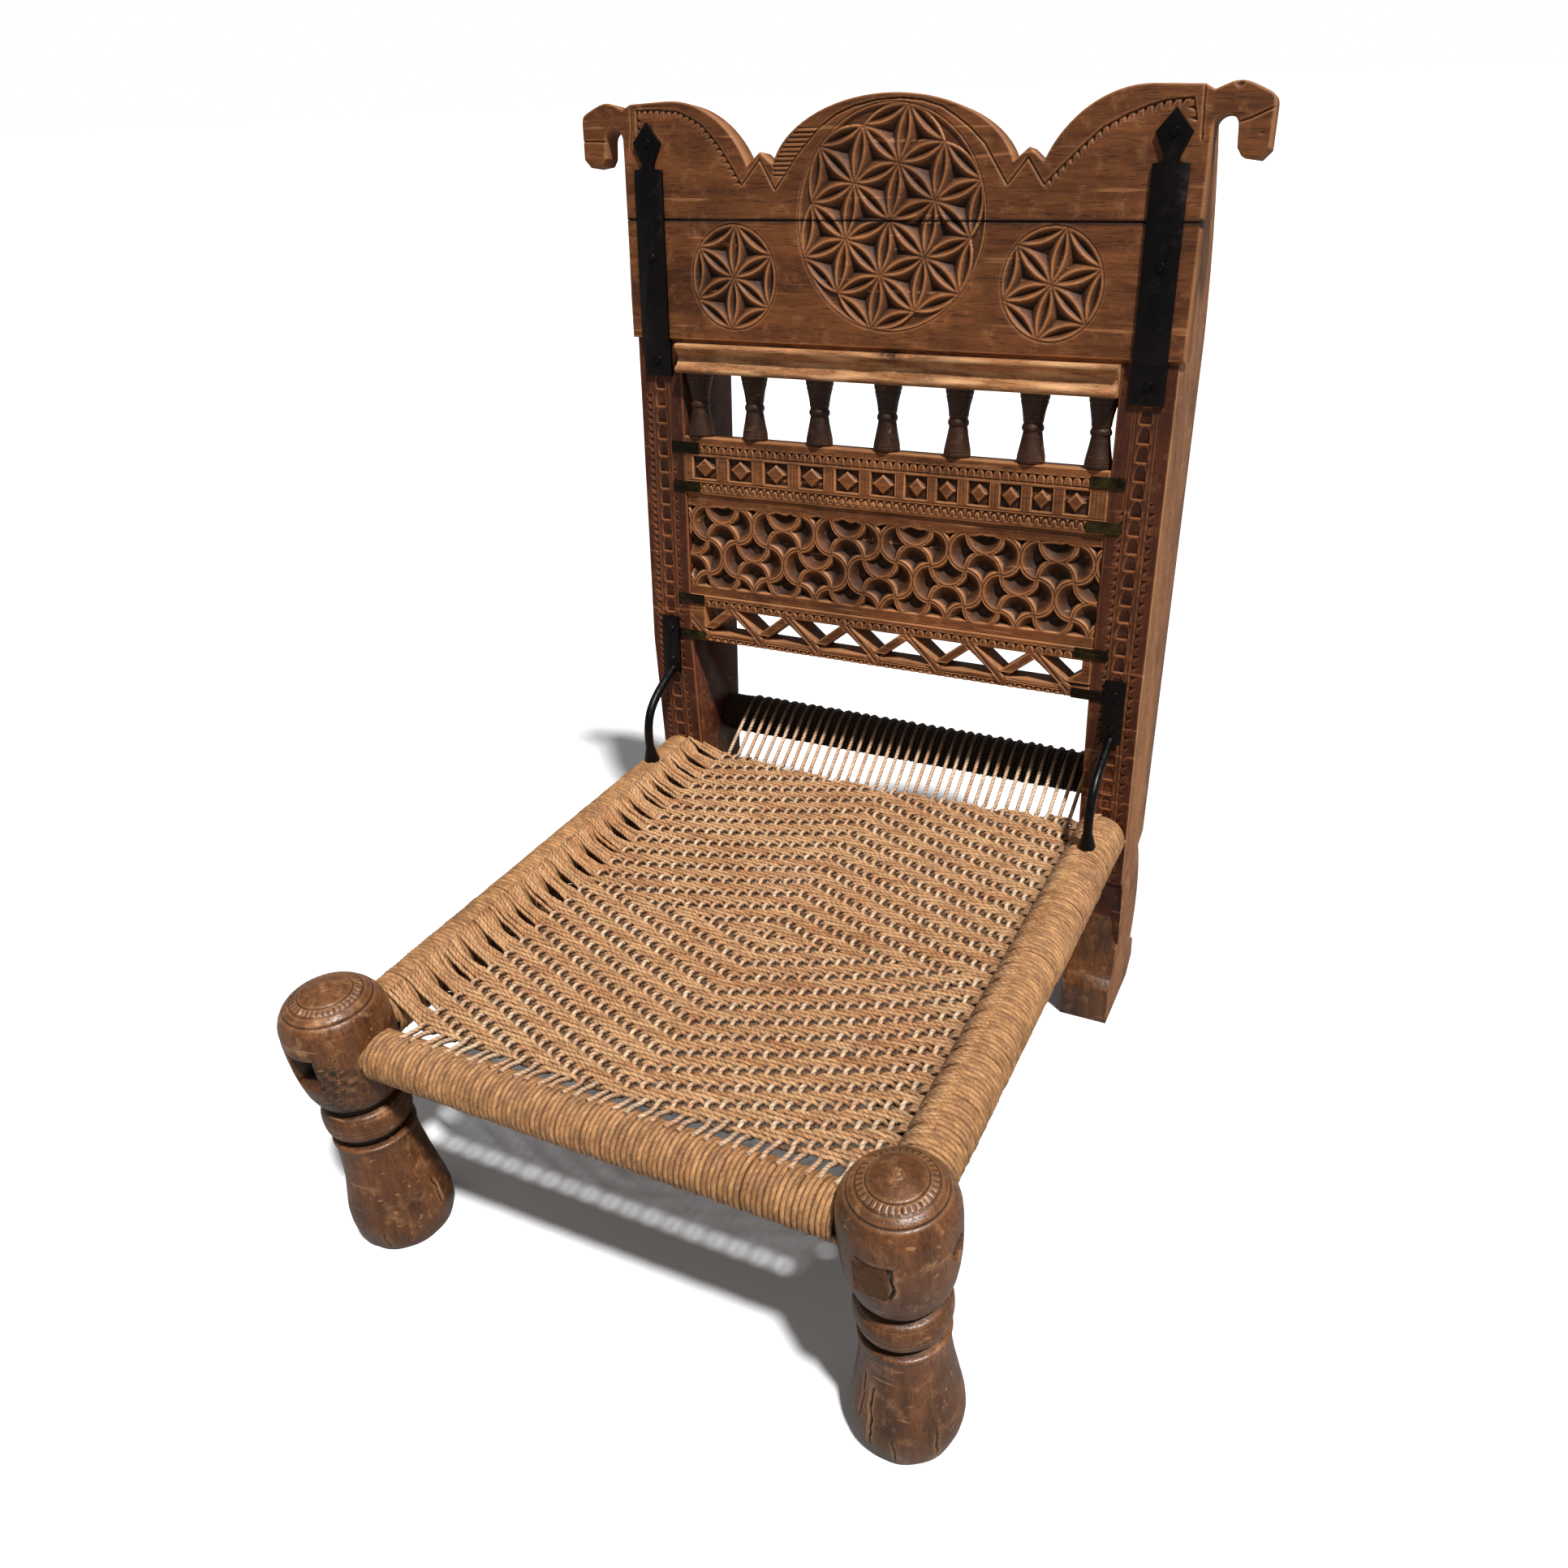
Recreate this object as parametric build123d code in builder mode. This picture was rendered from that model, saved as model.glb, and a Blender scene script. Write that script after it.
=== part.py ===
"""Low hill chair with a carved plank back and a seat woven from twine.

Millimetres, +Z up, the sitter faces -Y and +X is to the right of someone who looks at the
front. The origin is on the floor, under the middle of the chair. The back is drawn in a
leaning plane: x runs across it, v runs up its slope from the floor, and w stands out from
the face of the stiles towards the sitter.
"""

import os
from math import atan, atan2, cos, hypot, radians, sin, sqrt

from build123d import *

os.makedirs("parts", exist_ok=True)

# ---- stance ----------------------------------------------------------------------------
leg_offset = 3.5  # front leg axes stand this far outside the middle of the stiles
seat_reach = 470.0  # leg axis to the plane of the back, at floor level
lean_slope = 0.163  # how far the back leans for each unit of height
inner_width = 443.0  # clear width between the stiles

# ---- front legs (radii of the turned profile and the heights they sit at) --------------
leg_height = 276.0
leg_foot_radius, leg_foot_height = 44.5, 28.0
leg_sole_radius = 38.0
shaft_top_radius, shaft_top_height = 33.0, 121.0
groove_radius, groove_height = 28.0, 6.0
collar_radius, collar_top_height = 36.0, 157.0
block_radius, block_top_height = 43.0, 260.0
block_swell_height = 30.0  # over which the block grows to nearly its full radius
dome_lip = 1.2  # how far the dome's rim stands in from the block
button_radius, button_height = 4.5, 2.5

# ---- seat rails ------------------------------------------------------------------------
rail_height = 215.5  # axis of the front and side rails above the floor
back_rail_height = 240.0
back_rail_inset = 118.0  # back rail axis behind the plane of the back at floor level
side_core_radius, front_core_radius, back_core_radius = 19.4, 16.8, 16.8
twine = 4.4  # thickness of one strand

# ---- joints ----------------------------------------------------------------------------
fit = 0.15  # gap on each side of a tenon in its mortise
soft_gap = 0.3  # gap between twine and what it lies on
end_gap = 1.0  # gap beyond the end of a blind tenon
side_tenon_width, side_tenon_height = 24.0, 30.0
side_tenon_rear = 48.0  # length in the stile
left_tenon_recess = 15.0  # the left through tenon stops this far inside the leg
front_tenon_width, front_tenon_height = 18.0, 24.0
back_tenon_radius, back_tenon_length = 10.0, 26.0
peg_radius, peg_rise = 5.5, 7.0  # peg through each side tenon, above the rail axis

# ---- stiles ----------------------------------------------------------------------------
stile_width = 50.0
stile_depth = 97.0  # front to back, measured level
stile_drop = 9.2  # top of the stiles below the top of the crest
toe_advance, toe_height = 20.0, 50.0  # toe in front of the straight face of the stile
toe_edge = 6.0  # rounding of the toe's top edge
hollow_depth, hollow_top, hollow_bottom = 9.0, 160.0, 84.0
knee_height = 640.0  # the back edge bends upright here
top_thickness = 30.0  # stile and board together, at the very top
shin_bend = 350.0  # the front face turns steeper below this height
shin_set_forward = 17.0  # how far the face at the hollow stands off the leaning plane
notch_height, notch_depth = 172.0, 18.0
heel_notch_height, heel_notch_depth = 47.0, 13.0

# ---- boards and rails of the back, stacked up the slope from the lattice rail ------------
lattice_bottom = 362.0  # up the slope from the floor
lattice_rail_height = 49.5
panel_height = 105.1
diamond_rail_height = 56.7
spindle_height = 61.2  # the part that shows
moulding_height = 30.3
rosette_board_height = 105.0
crest_height = 98.5

board_thickness = 20.0
board_proud = 3.0  # boards stand forward of the stile faces
board_overhang = 3.5  # past the outer sides of the stiles
seam_gap = 0.2
side_arch_radius, side_arch_flat = 94.7, 50.0  # the arch ends this far inside the board's end
cusp_centre, cusp_half_width = 127.5, 13.0
valley_depth, cusp_rise = 52.0, 9.5
centre_arch_drop = 12.0  # middle of the ellipse of the centre arch below the valleys
arch_lift = 10.5  # degrees of that ellipse left out beside each cusp
head_drop = 54.0  # horse head: down to its muzzle
muzzle_width, throat_radius, throat_margin = 25.0, 9.5, 1.5
cheek_height = 22.0  # throat above the muzzle

moulding_proud, moulding_back = 12.0, 18.0
moulding_step, moulding_step_back = 3.3, 2.0  # its front is lower, a shadow under the boards
moulding_tenon_back = 3.0
rail_thickness = 27.0
tongue, tongue_thickness = 5.5, 8.0  # panel edges, held in grooves
panel_set_back, panel_thickness = 2.0, 17.0
tenon_length, tenon_thickness, tenon_shoulder = 20.0, 12.0, 6.0

# ---- rosettes: six-petalled flowers set out with a compass, cut as pointed hollows -------
petal_length = 45.3  # radius of the compass circles
petal_half_width = 4.4
petal_tip = 1.2  # left uncut where the petals meet
petal_depth, petal_flare = 2.6, 46.0
main_rosette_x, main_rosette_turn = 2.5, 20.0
small_rosette_x, small_rosette_rise = 155.5, 56.3  # from the middle and the board's foot
left_rosette_turn, right_rosette_turn = 25.5, 17.0

# ---- lattice ---------------------------------------------------------------------------
lattice_cells = 6
lattice_start_margin, lattice_end_margin = 16.5, 22.7  # feet of the outermost bars
lattice_left_stub, lattice_right_stub = 17.5, 9.5  # solid wood at the ends of the lattice
lattice_foot, lattice_head = 10.5, 13.0  # solid wood below and above the lattice
lattice_bar = 8.5

# ---- diamond band ----------------------------------------------------------------------
band_foot, band_head = 12.9, 15.8  # plain wood below and above the band
band_sink = 2.2
diamond_count = 12
diamond_left_margin, diamond_right_margin = 23.1, 29.6  # outermost diamonds to the stiles
diamond_crowding = 0.71  # the pitch shrinks to the right by twice this at each diamond
diamond_height, diamond_wide, diamond_narrow = 22.5, 26.0, 21.0
divider_width = 6.5

# ---- crescent panel: a net of double-axe figures, each with two lobes cut as hollows -------
lobe_radius, lobe_row = 18.0, 35.0  # also half the width of a figure, and row to row
ribbon_half_width = 2.0  # left standing along every arc
lobe_depth, lobe_flare = 4.6, 36.0
crescent_start, crescent_top_row = 40.5, 28.4  # first figure from the panel's left and top
crescent_top_margin, crescent_low_margin = 11.4, 9.8  # plain wood above and below the net

# ---- spindles --------------------------------------------------------------------------
spindle_pitch = 72.0
spindle_top_radius, spindle_waist_radius, spindle_foot_radius = 12.5, 8.5, 14.5
spindle_ring_radius = 10.2
spindle_tenon_radius, spindle_tenon_length = 5.0, 9.0
spindle_setback = 10.0  # spindle axes behind the face of the rails

# ---- ironwork --------------------------------------------------------------------------
strap_half_width, strap_thickness = 15.0, 3.0
strap_foot, strap_top_margin = 4.5, 17.5  # below the moulding, and below the crest's top
strap_point, strap_waist, strap_collar_drop = 17.0, 34.0, 39.0  # below the strap's tip
strap_neck_half_width = 6.5
nail_radius, nail_head_radius, nail_head_height = 1.6, 4.0, 1.6
strap_nail_depth, plate_nail_depth = 24.0, 16.0  # tips behind the face of the stiles
seam_nail_drop, low_nail_drop = 33.0, 20.0  # below the seam, and below the boards
plate_half_width, plate_thickness = 10.0, 3.0
plate_length, plate_lap = 62.0, 22.0  # the plate reaches this far past the lattice rail's foot
plate_nail_margin = 14.0
arm_radius = 4.6
arm_foot_radius, arm_foot_height = 8.5, 15.0
arm_foot_forward = 13.0  # foot in front of the plane of the back at floor level
spike_radius, spike_length = 2.4, 16.0

# ---- brass clips -----------------------------------------------------------------------
clip_length, clip_height, clip_thickness = 32.0, 10.0, 1.2
clip_shift = 1.5  # clips sit a little nearer the middle than the joint they bridge
clip_nail_radius, clip_nail_head, clip_nail_depth = 1.1, 2.1, 6.5
clip_nail_rise = 0.8
clip_nail_spread = 11.0  # each nail from the middle of its clip
clip_margins = (10.5, 6.8, 5.2, 4.8)  # from the edges of the two carved rails, top to bottom

# ---- woven seat ------------------------------------------------------------------------
weave_thickness = 8.0
weave_sag = 27.0
weave_rear = 59.0  # rear edge of the weave behind the plane of the back at floor level
weave_rail_drop = 1.5  # top of the weave below the top of the rail twine, at the rails
warp_count = 36
warp_left_margin, warp_right_margin = 34.7, 9.3  # outermost warps to the stiles
warp_radius = 2.0

# ---- places worked out from the sizes --------------------------------------------------
lean = atan(lean_slope)
lattice_top = lattice_bottom + lattice_rail_height
diamond_bottom = lattice_top + panel_height
diamond_top = diamond_bottom + diamond_rail_height
moulding_bottom = diamond_top + spindle_height
moulding_top = moulding_bottom + moulding_height
rosette_bottom = moulding_top + seam_gap
seam_height = rosette_bottom + rosette_board_height
crest_top = seam_height + crest_height
valley_height = crest_top - valley_depth
stile_top = crest_top * cos(lean) - stile_drop
total_depth = leg_foot_radius + seat_reach + lean_slope * knee_height + stile_depth
leg_y = leg_foot_radius - total_depth / 2
back_y = leg_y + seat_reach
half_inner = inner_width / 2
rail_x = half_inner + stile_width / 2
half_legs = rail_x + leg_offset
leg_spacing = 2 * half_legs
board_half_width = half_inner + stile_width + board_overhang
head_reach = board_half_width + 2 * throat_radius + throat_margin + muzzle_width
side_twine_radius = side_core_radius + twine
front_twine_radius = front_core_radius + twine
back_twine_radius = back_core_radius + twine
back_rail_y = back_y + back_rail_inset
rabbet = board_thickness - board_proud
drill_start = moulding_proud + strap_thickness  # nail holes are cut from this far in front
through_all = drill_start + 2 * board_thickness
panel_bottom, panel_top = lattice_top + seam_gap, diamond_bottom - seam_gap
rail_top = rail_height + side_twine_radius
warp_pitch = (inner_width - warp_left_margin - warp_right_margin) / (warp_count - 1)
lattice_pitch = (inner_width - lattice_start_margin - lattice_end_margin) / lattice_cells
lattice_start = lattice_start_margin - half_inner
lattice_low, lattice_high = lattice_bottom + lattice_foot, lattice_top - lattice_head
lattice_open = (lattice_left_stub - half_inner, half_inner - lattice_right_stub)
band_low, band_high = diamond_bottom + band_foot, diamond_top - band_head
diamond_first, diamond_last = diamond_left_margin - half_inner, half_inner - diamond_right_margin
strap_bottom, strap_tip = moulding_bottom - strap_foot, crest_top - strap_top_margin
strap_shoulder, strap_neck = strap_tip - strap_point, strap_tip - strap_waist
strap_collar = strap_tip - strap_collar_drop
plate_top = lattice_bottom + plate_lap
plate_bottom = plate_top - plate_length


def back_plane(out=0.0):
    """Plane of the back: x across, y up the slope, z towards the sitter."""
    normal = Vector(0, -cos(lean), sin(lean))
    return Plane(origin=Vector(0, back_y, 0) + normal * out, x_dir=(1, 0, 0), z_dir=normal)


def face_offset(z):
    """How far the stile's front face lies behind back_y at height z."""
    low = lean_slope * hollow_top + shin_set_forward
    if z >= shin_bend:
        return lean_slope * z
    share = (z - hollow_top) / (shin_bend - hollow_top)
    return low + share * (lean_slope * shin_bend - low)


def back_sketch(x, v, width, height, out=0.0):
    """A rectangle on the plane of the back, centred at x and v."""
    with BuildSketch(back_plane(out)) as area:
        with Locations((x, v)):
            Rectangle(width, height)
    return area.sketch


def leg_sketch(x, gap=0.0):
    """Half section of a front leg, grown sideways by gap."""
    collar_low = shaft_top_height + groove_height + 6
    block_low = collar_top_height + groove_height
    rim = block_radius - dome_lip + gap
    with BuildSketch(Plane(origin=(x, leg_y, 0), x_dir=(1, 0, 0), z_dir=(0, -1, 0))) as half:
        with BuildLine():
            sole = Line((0, 0), (leg_sole_radius + gap, 0))
            foot = Line(sole @ 1, (leg_foot_radius + gap, leg_foot_height))
            shaft = Spline(
                foot @ 1,
                (shaft_top_radius + 2 + gap, shaft_top_height * 0.72),
                (shaft_top_radius + gap, shaft_top_height),
                tangents=[(0, 1), (0.02, 1)],
            )
            low_groove = Polyline(
                shaft @ 1,
                (groove_radius + gap, shaft_top_height + 2),
                (groove_radius + gap, shaft_top_height + groove_height),
                (collar_radius - 2 + gap, collar_low),
            )
            collar = ThreePointArc(
                low_groove @ 1,
                (collar_radius + gap, (collar_low + collar_top_height) / 2),
                (collar_radius - 2 + gap, collar_top_height),
            )
            high_groove = Polyline(
                collar @ 1,
                (groove_radius + gap, collar_top_height + 2),
                (groove_radius + gap, block_low),
                (shaft_top_radius + gap, block_low + 3),
            )
            block = Spline(
                high_groove @ 1,
                (block_radius - 2.5 + gap, block_low + block_swell_height),
                (block_radius + gap, rail_height + 12),
                (block_radius - 0.4 + gap, block_top_height),
                tangents=[(0.8, 1), (0, 1)],
            )
            lip = Line(block @ 1, (rim, block_top_height + 0.6))
            dome = Spline(
                lip @ 1,
                (rim * 0.86, (block_top_height + leg_height - button_height) / 2),
                (button_radius, leg_height - button_height),
                tangents=[(0, 1), (-1, 0.12)],
            )
            Polyline(dome @ 1, (button_radius * 0.8, leg_height), (0, leg_height), sole @ 0)
        make_face()
    return half.sketch


def leg_axis(x):
    return Axis((x, leg_y, 0), (0, 0, 1))


def stile_sketch(x):
    """Side view of a stile: straight face, hollow and toe in front, notched heel behind."""
    rear_low = lean_slope * notch_height + stile_depth
    toe = face_offset(hollow_top) - toe_advance - hollow_depth
    knee = (lean_slope * knee_height + stile_depth, knee_height)
    with BuildSketch(Plane(origin=(x, back_y, 0), x_dir=(0, 1, 0), z_dir=(1, 0, 0))) as side:
        with BuildLine():
            front = Polyline(
                (toe, 0),
                (toe, toe_height - toe_edge),
                (toe + toe_edge, toe_height),
            )
            instep = Spline(
                front @ 1,
                (face_offset(hollow_bottom) - 2, hollow_bottom),
                (face_offset(hollow_top) - 2, hollow_top),
                tangents=[(1, 0.6), (-0.1, 1)],
            )
            face = Polyline(
                instep @ 1,
                (face_offset(hollow_top) + 1, hollow_top + 4),
                (lean_slope * shin_bend, shin_bend),
                (lean_slope * stile_top, stile_top),
                (lean_slope * stile_top + top_thickness, stile_top),
            )
            shoulder = Spline(face @ 1, knee, tangents=[(1, -2.2), (-lean_slope, -1)])
            calf = Polyline(
                shoulder @ 1,
                (rear_low, notch_height + 8),
                (rear_low - notch_depth, notch_height),
            )
            heel = ThreePointArc(
                calf @ 1,
                (rear_low - 4, (notch_height + heel_notch_height) / 2 + 6),
                (rear_low - notch_depth, heel_notch_height),
            )
            Polyline(
                heel @ 1,
                (rear_low - notch_depth + heel_notch_depth, heel_notch_height - 8),
                (rear_low - notch_depth + heel_notch_depth, 16),
                (rear_low - notch_depth - 6, 0),
                front @ 0,
            )
        make_face()
    return side.sketch


def rail_tenons(bottom, top, back, length, gap=0.0):
    """Sketches of the two end tenons of a rail of the back, one for each side."""
    height = top - bottom - 2 * tenon_shoulder
    return [
        (
            back_sketch(
                side * (half_inner + length / 2 - 1),
                (top + bottom) / 2,
                length + 2,
                height + 2 * gap,
                -back - tenon_thickness - gap,
            ),
            tenon_thickness + 2 * gap,
        )
        for side in (-1, 1)
    ]


def save(part, label):
    part.label = label
    export_step(part, f"parts/{label}.step")


# ---- nail places on the back: x, v and the height w of the surface they are driven into -
strap_nail_heights = (strap_shoulder, seam_height - seam_nail_drop, rosette_bottom - low_nail_drop)
plate_nail_heights = (plate_bottom + plate_nail_margin, plate_top - plate_nail_margin)
clip_levels = (
    diamond_top - clip_margins[0],
    diamond_bottom + clip_margins[1],
    lattice_top - clip_margins[2],
    lattice_bottom + clip_margins[3],
)
strap_nails = [(side * rail_x, v) for side in (-1, 1) for v in strap_nail_heights]
plate_nails = [(side * rail_x, v) for side in (-1, 1) for v in plate_nail_heights]
clip_nails = [
    (side * (half_inner - clip_shift) + shift, v)
    for side in (-1, 1)
    for v in clip_levels
    for shift in (-clip_nail_spread, clip_nail_spread)
]
mid_rail = rail_thickness / 2
spindle_x = [i * spindle_pitch for i in (-2, -1, 0, 1, 2)]
outer_spindle = half_inner - spindle_foot_radius - fit
spindle_x = [-outer_spindle] + spindle_x + [outer_spindle]
foot_y = back_y - arm_foot_forward


def nail_holes(places, radius):
    """Sketch of round holes on a plane that stands drill_start in front of the back."""
    with BuildSketch(back_plane(drill_start)) as holes:
        with Locations(*places):
            Circle(radius)
    return holes.sketch


def row_of_nails(places, radius, head_radius, head_height, depth, out):
    """Nails driven square into the plane of the back, their heads resting at out."""
    with BuildPart() as nails:
        with BuildSketch(back_plane(out)):
            with Locations(*places):
                Circle(radius)
        extrude(amount=-(out + depth))
        with BuildSketch(back_plane(out)):
            with Locations(*places):
                Circle(head_radius)
        extrude(amount=head_height, taper=28)
    return nails.part


# ---- front legs ------------------------------------------------------------------------
for name, side in (("left", -1), ("right", 1)):
    leg_x = side * half_legs
    with BuildPart() as leg:
        revolve(leg_sketch(leg_x), axis=leg_axis(leg_x))
        # through mortise of the side rail, front to back
        with Locations((side * rail_x, leg_y, rail_height)):
            Box(
                side_tenon_width + 2 * fit,
                3 * block_radius,
                side_tenon_height + 2 * fit,
                mode=Mode.SUBTRACT,
            )
        # blind mortise of the front rail, open towards the middle of the chair
        inner_end = side * rail_x - side * side_tenon_width / 2
        with Locations((inner_end - side * block_radius / 2, leg_y, rail_height)):
            Box(
                block_radius,
                front_tenon_width + 2 * fit,
                front_tenon_height + 2 * fit,
                mode=Mode.SUBTRACT,
            )
        # peg hole from outside, through the side tenon's cheek
        with BuildSketch(Plane.YZ.offset(side * rail_x)):
            with Locations((leg_y, rail_height + peg_rise)):
                Circle(peg_radius + fit)
        extrude(amount=side * 2 * block_radius, mode=Mode.SUBTRACT)
    save(leg.part, f"leg_front_{name}")

with BuildPart() as pegs:
    for side in (-1, 1):
        start = side * (rail_x - side_tenon_width / 2 + fit)
        reach = half_legs + block_radius - 2 - (rail_x - side_tenon_width / 2 + fit)
        with BuildSketch(Plane.YZ.offset(start)):
            with Locations((leg_y, rail_height + peg_rise)):
                Circle(peg_radius)
        extrude(amount=side * reach)
save(pegs.part, "leg_pegs")

# ---- stiles ----------------------------------------------------------------------------
for name, side in (("left", -1), ("right", 1)):
    inside = side * half_inner
    with BuildPart() as stile:
        extrude(stile_sketch(inside), amount=side * stile_width)
        # the boards lap over the face from their lower edge up
        lap = stile_top * 1.1 - rosette_bottom + seam_gap
        extrude(
            back_sketch(
                side * rail_x, rosette_bottom - seam_gap + lap / 2, stile_width + 2, lap, -rabbet - seam_gap
            ),
            amount=2 * rabbet,
            mode=Mode.SUBTRACT,
        )
        # long hollow along the lower outside corner
        with BuildSketch(Plane.XZ.offset(-back_y + toe_advance)):
            with Locations((side * (half_inner + stile_width), (hollow_top + hollow_bottom) / 2)):
                Ellipse(hollow_depth, (hollow_top - hollow_bottom) / 2)
        extrude(amount=-2 * stile_depth / 3, mode=Mode.SUBTRACT)
        # mortises of the moulding, the two carved rails and the panel groove
        for low, high, back in (
            (moulding_bottom, moulding_top, moulding_tenon_back),
            (diamond_bottom, diamond_top, mid_rail - tenon_thickness / 2),
            (lattice_bottom, lattice_top, mid_rail - tenon_thickness / 2),
        ):
            cuts = rail_tenons(low, high, back, tenon_length + end_gap, fit)
            area, thick = cuts[0] if side < 0 else cuts[1]
            extrude(area, amount=thick, mode=Mode.SUBTRACT)
        groove = back_sketch(
            side * (half_inner + (tongue + end_gap) / 2 - 1),
            (panel_bottom + panel_top) / 2,
            tongue + end_gap + 2,
            panel_top - panel_bottom + 2 * tongue + 2 * end_gap,
            -mid_rail - tongue_thickness / 2 - fit,
        )
        extrude(groove, amount=tongue_thickness + 2 * fit, mode=Mode.SUBTRACT)
        # side rail and back rail mortises
        face_y = back_y + face_offset(rail_height)
        with Locations((side * rail_x, face_y + (side_tenon_rear + end_gap) / 2 - 2, rail_height)):
            Box(
                side_tenon_width + 2 * fit,
                side_tenon_rear + end_gap + 4,
                side_tenon_height + 2 * fit,
                mode=Mode.SUBTRACT,
            )
        with BuildSketch(Plane.YZ.offset(inside)):
            with Locations((back_rail_y, back_rail_height)):
                Circle(back_tenon_radius + fit)
        extrude(amount=side * (back_tenon_length + end_gap), mode=Mode.SUBTRACT)
        # nail holes
        for places, radius, depth in (
            (strap_nails, nail_radius, strap_nail_depth),
            (plate_nails, nail_radius, plate_nail_depth),
            (clip_nails, clip_nail_radius, clip_nail_depth),
        ):
            near = [(x, v) for x, v in places if x * side > half_inner]
            deep = drill_start + depth + end_gap
            extrude(nail_holes(near, radius + fit), amount=-deep, mode=Mode.SUBTRACT)
    save(stile.part, f"stile_{name}")

# ---- seat rails and the twine wound round them ------------------------------------------
face_y = back_y + face_offset(rail_height)


def behind_stile_face(gap=0.0):
    """Sketch of everything behind the lower face of the stiles, seen from the side."""
    with BuildSketch(Plane.YZ) as area:
        with BuildLine():
            Polyline(
                (back_y + face_offset(hollow_top) - gap, hollow_top),
                (back_y + face_offset(shin_bend) - gap, shin_bend),
                (back_y + 2 * stile_depth, shin_bend),
                (back_y + 2 * stile_depth, hollow_top),
                close=True,
            )
        make_face()
    return area.sketch


def long_circle(x, radius):
    """Round section of a side rail, drawn on the plane through the leg axes."""
    with BuildSketch(Plane.XZ.offset(-leg_y)) as area:
        with Locations((x, rail_height)):
            Circle(radius)
    return area.sketch


for name, side in (("left", -1), ("right", 1)):
    leg_x, x = side * half_legs, side * rail_x
    recess = left_tenon_recess if name == "left" else 0.0
    tenon_front = leg_y - block_radius + 1 + recess
    tenon_rear = face_y + side_tenon_rear
    with BuildPart() as rail:
        extrude(long_circle(x, side_core_radius), amount=-(seat_reach + stile_depth))
        revolve(leg_sketch(leg_x, fit), axis=leg_axis(leg_x), mode=Mode.SUBTRACT)
        extrude(behind_stile_face(), amount=leg_spacing, both=True, mode=Mode.SUBTRACT)
        with Locations((x, (tenon_front + tenon_rear) / 2, rail_height)):
            Box(side_tenon_width, tenon_rear - tenon_front, side_tenon_height)
        with BuildSketch(Plane.YZ.offset(x - side * side_tenon_width)):
            with Locations((leg_y, rail_height + peg_rise)):
                Circle(peg_radius + fit)
        extrude(amount=side * 2 * side_tenon_width, mode=Mode.SUBTRACT)
        with BuildSketch(Plane.XY.offset(rail_top)):
            with Locations((x, foot_y)):
                Circle(spike_radius + fit)
        extrude(amount=-(twine + spike_length), mode=Mode.SUBTRACT)
    save(rail.part, f"rail_{name}")

    with BuildPart() as binding:
        extrude(long_circle(x, side_twine_radius), amount=-(seat_reach + stile_depth))
        revolve(leg_sketch(leg_x, soft_gap), axis=leg_axis(leg_x), mode=Mode.SUBTRACT)
        extrude(behind_stile_face(soft_gap), amount=leg_spacing, both=True, mode=Mode.SUBTRACT)
        extrude(
            long_circle(x, side_core_radius + soft_gap),
            amount=-(seat_reach + stile_depth),
            mode=Mode.SUBTRACT,
        )
        with BuildSketch(Plane.XY.offset(rail_height)):
            with Locations((x, foot_y)):
                Circle(spike_radius + soft_gap)
        extrude(amount=2 * side_twine_radius, mode=Mode.SUBTRACT)
    save(binding.part, f"twine_rail_{name}")

cross_at_front = Plane.YZ.offset(-half_legs)
cross_at_back = Plane.YZ.offset(-half_inner)


def cross_circle(plane, y, z, radius):
    """Round section of a rail that runs across the chair."""
    with BuildSketch(plane) as area:
        with Locations((y, z)):
            Circle(radius)
    return area.sketch


with BuildPart() as rail_front:
    extrude(cross_circle(cross_at_front, leg_y, rail_height, front_core_radius), amount=leg_spacing)
    for side in (-1, 1):
        leg_x = side * half_legs
        revolve(leg_sketch(leg_x, fit), axis=leg_axis(leg_x), mode=Mode.SUBTRACT)
    tenon_tip = rail_x - side_tenon_width / 2 - end_gap
    with Locations((0, leg_y, rail_height)):
        Box(2 * tenon_tip, front_tenon_width, front_tenon_height)
save(rail_front.part, "rail_front")

with BuildPart() as twine_front:
    extrude(cross_circle(cross_at_front, leg_y, rail_height, front_twine_radius), amount=leg_spacing)
    for side in (-1, 1):
        leg_x = side * half_legs
        revolve(leg_sketch(leg_x, soft_gap), axis=leg_axis(leg_x), mode=Mode.SUBTRACT)
    extrude(
        cross_circle(cross_at_front, leg_y, rail_height, front_core_radius + soft_gap),
        amount=leg_spacing,
        mode=Mode.SUBTRACT,
    )
save(twine_front.part, "twine_rail_front")

with BuildPart() as rail_back:
    extrude(
        cross_circle(cross_at_back, back_rail_y, back_rail_height, back_core_radius),
        amount=inner_width,
    )
    with BuildSketch(Plane.YZ.offset(-half_inner - back_tenon_length)):
        with Locations((back_rail_y, back_rail_height)):
            Circle(back_tenon_radius)
    extrude(amount=inner_width + 2 * back_tenon_length)
save(rail_back.part, "rail_back")

with BuildPart() as twine_back:
    with BuildSketch(Plane.YZ.offset(-half_inner + soft_gap)):
        with Locations((back_rail_y, back_rail_height)):
            Circle(back_twine_radius)
            Circle(back_core_radius + soft_gap, mode=Mode.SUBTRACT)
    extrude(amount=inner_width - 2 * soft_gap)
save(twine_back.part, "twine_rail_back")

# ---- woven seat --------------------------------------------------------------------------
weave_front_y, weave_rear_y = leg_y, back_y + weave_rear
weave_mid_y = (weave_front_y + weave_rear_y) / 2
weave_half = rail_x
weave_edge = rail_top - weave_rail_drop


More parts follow.
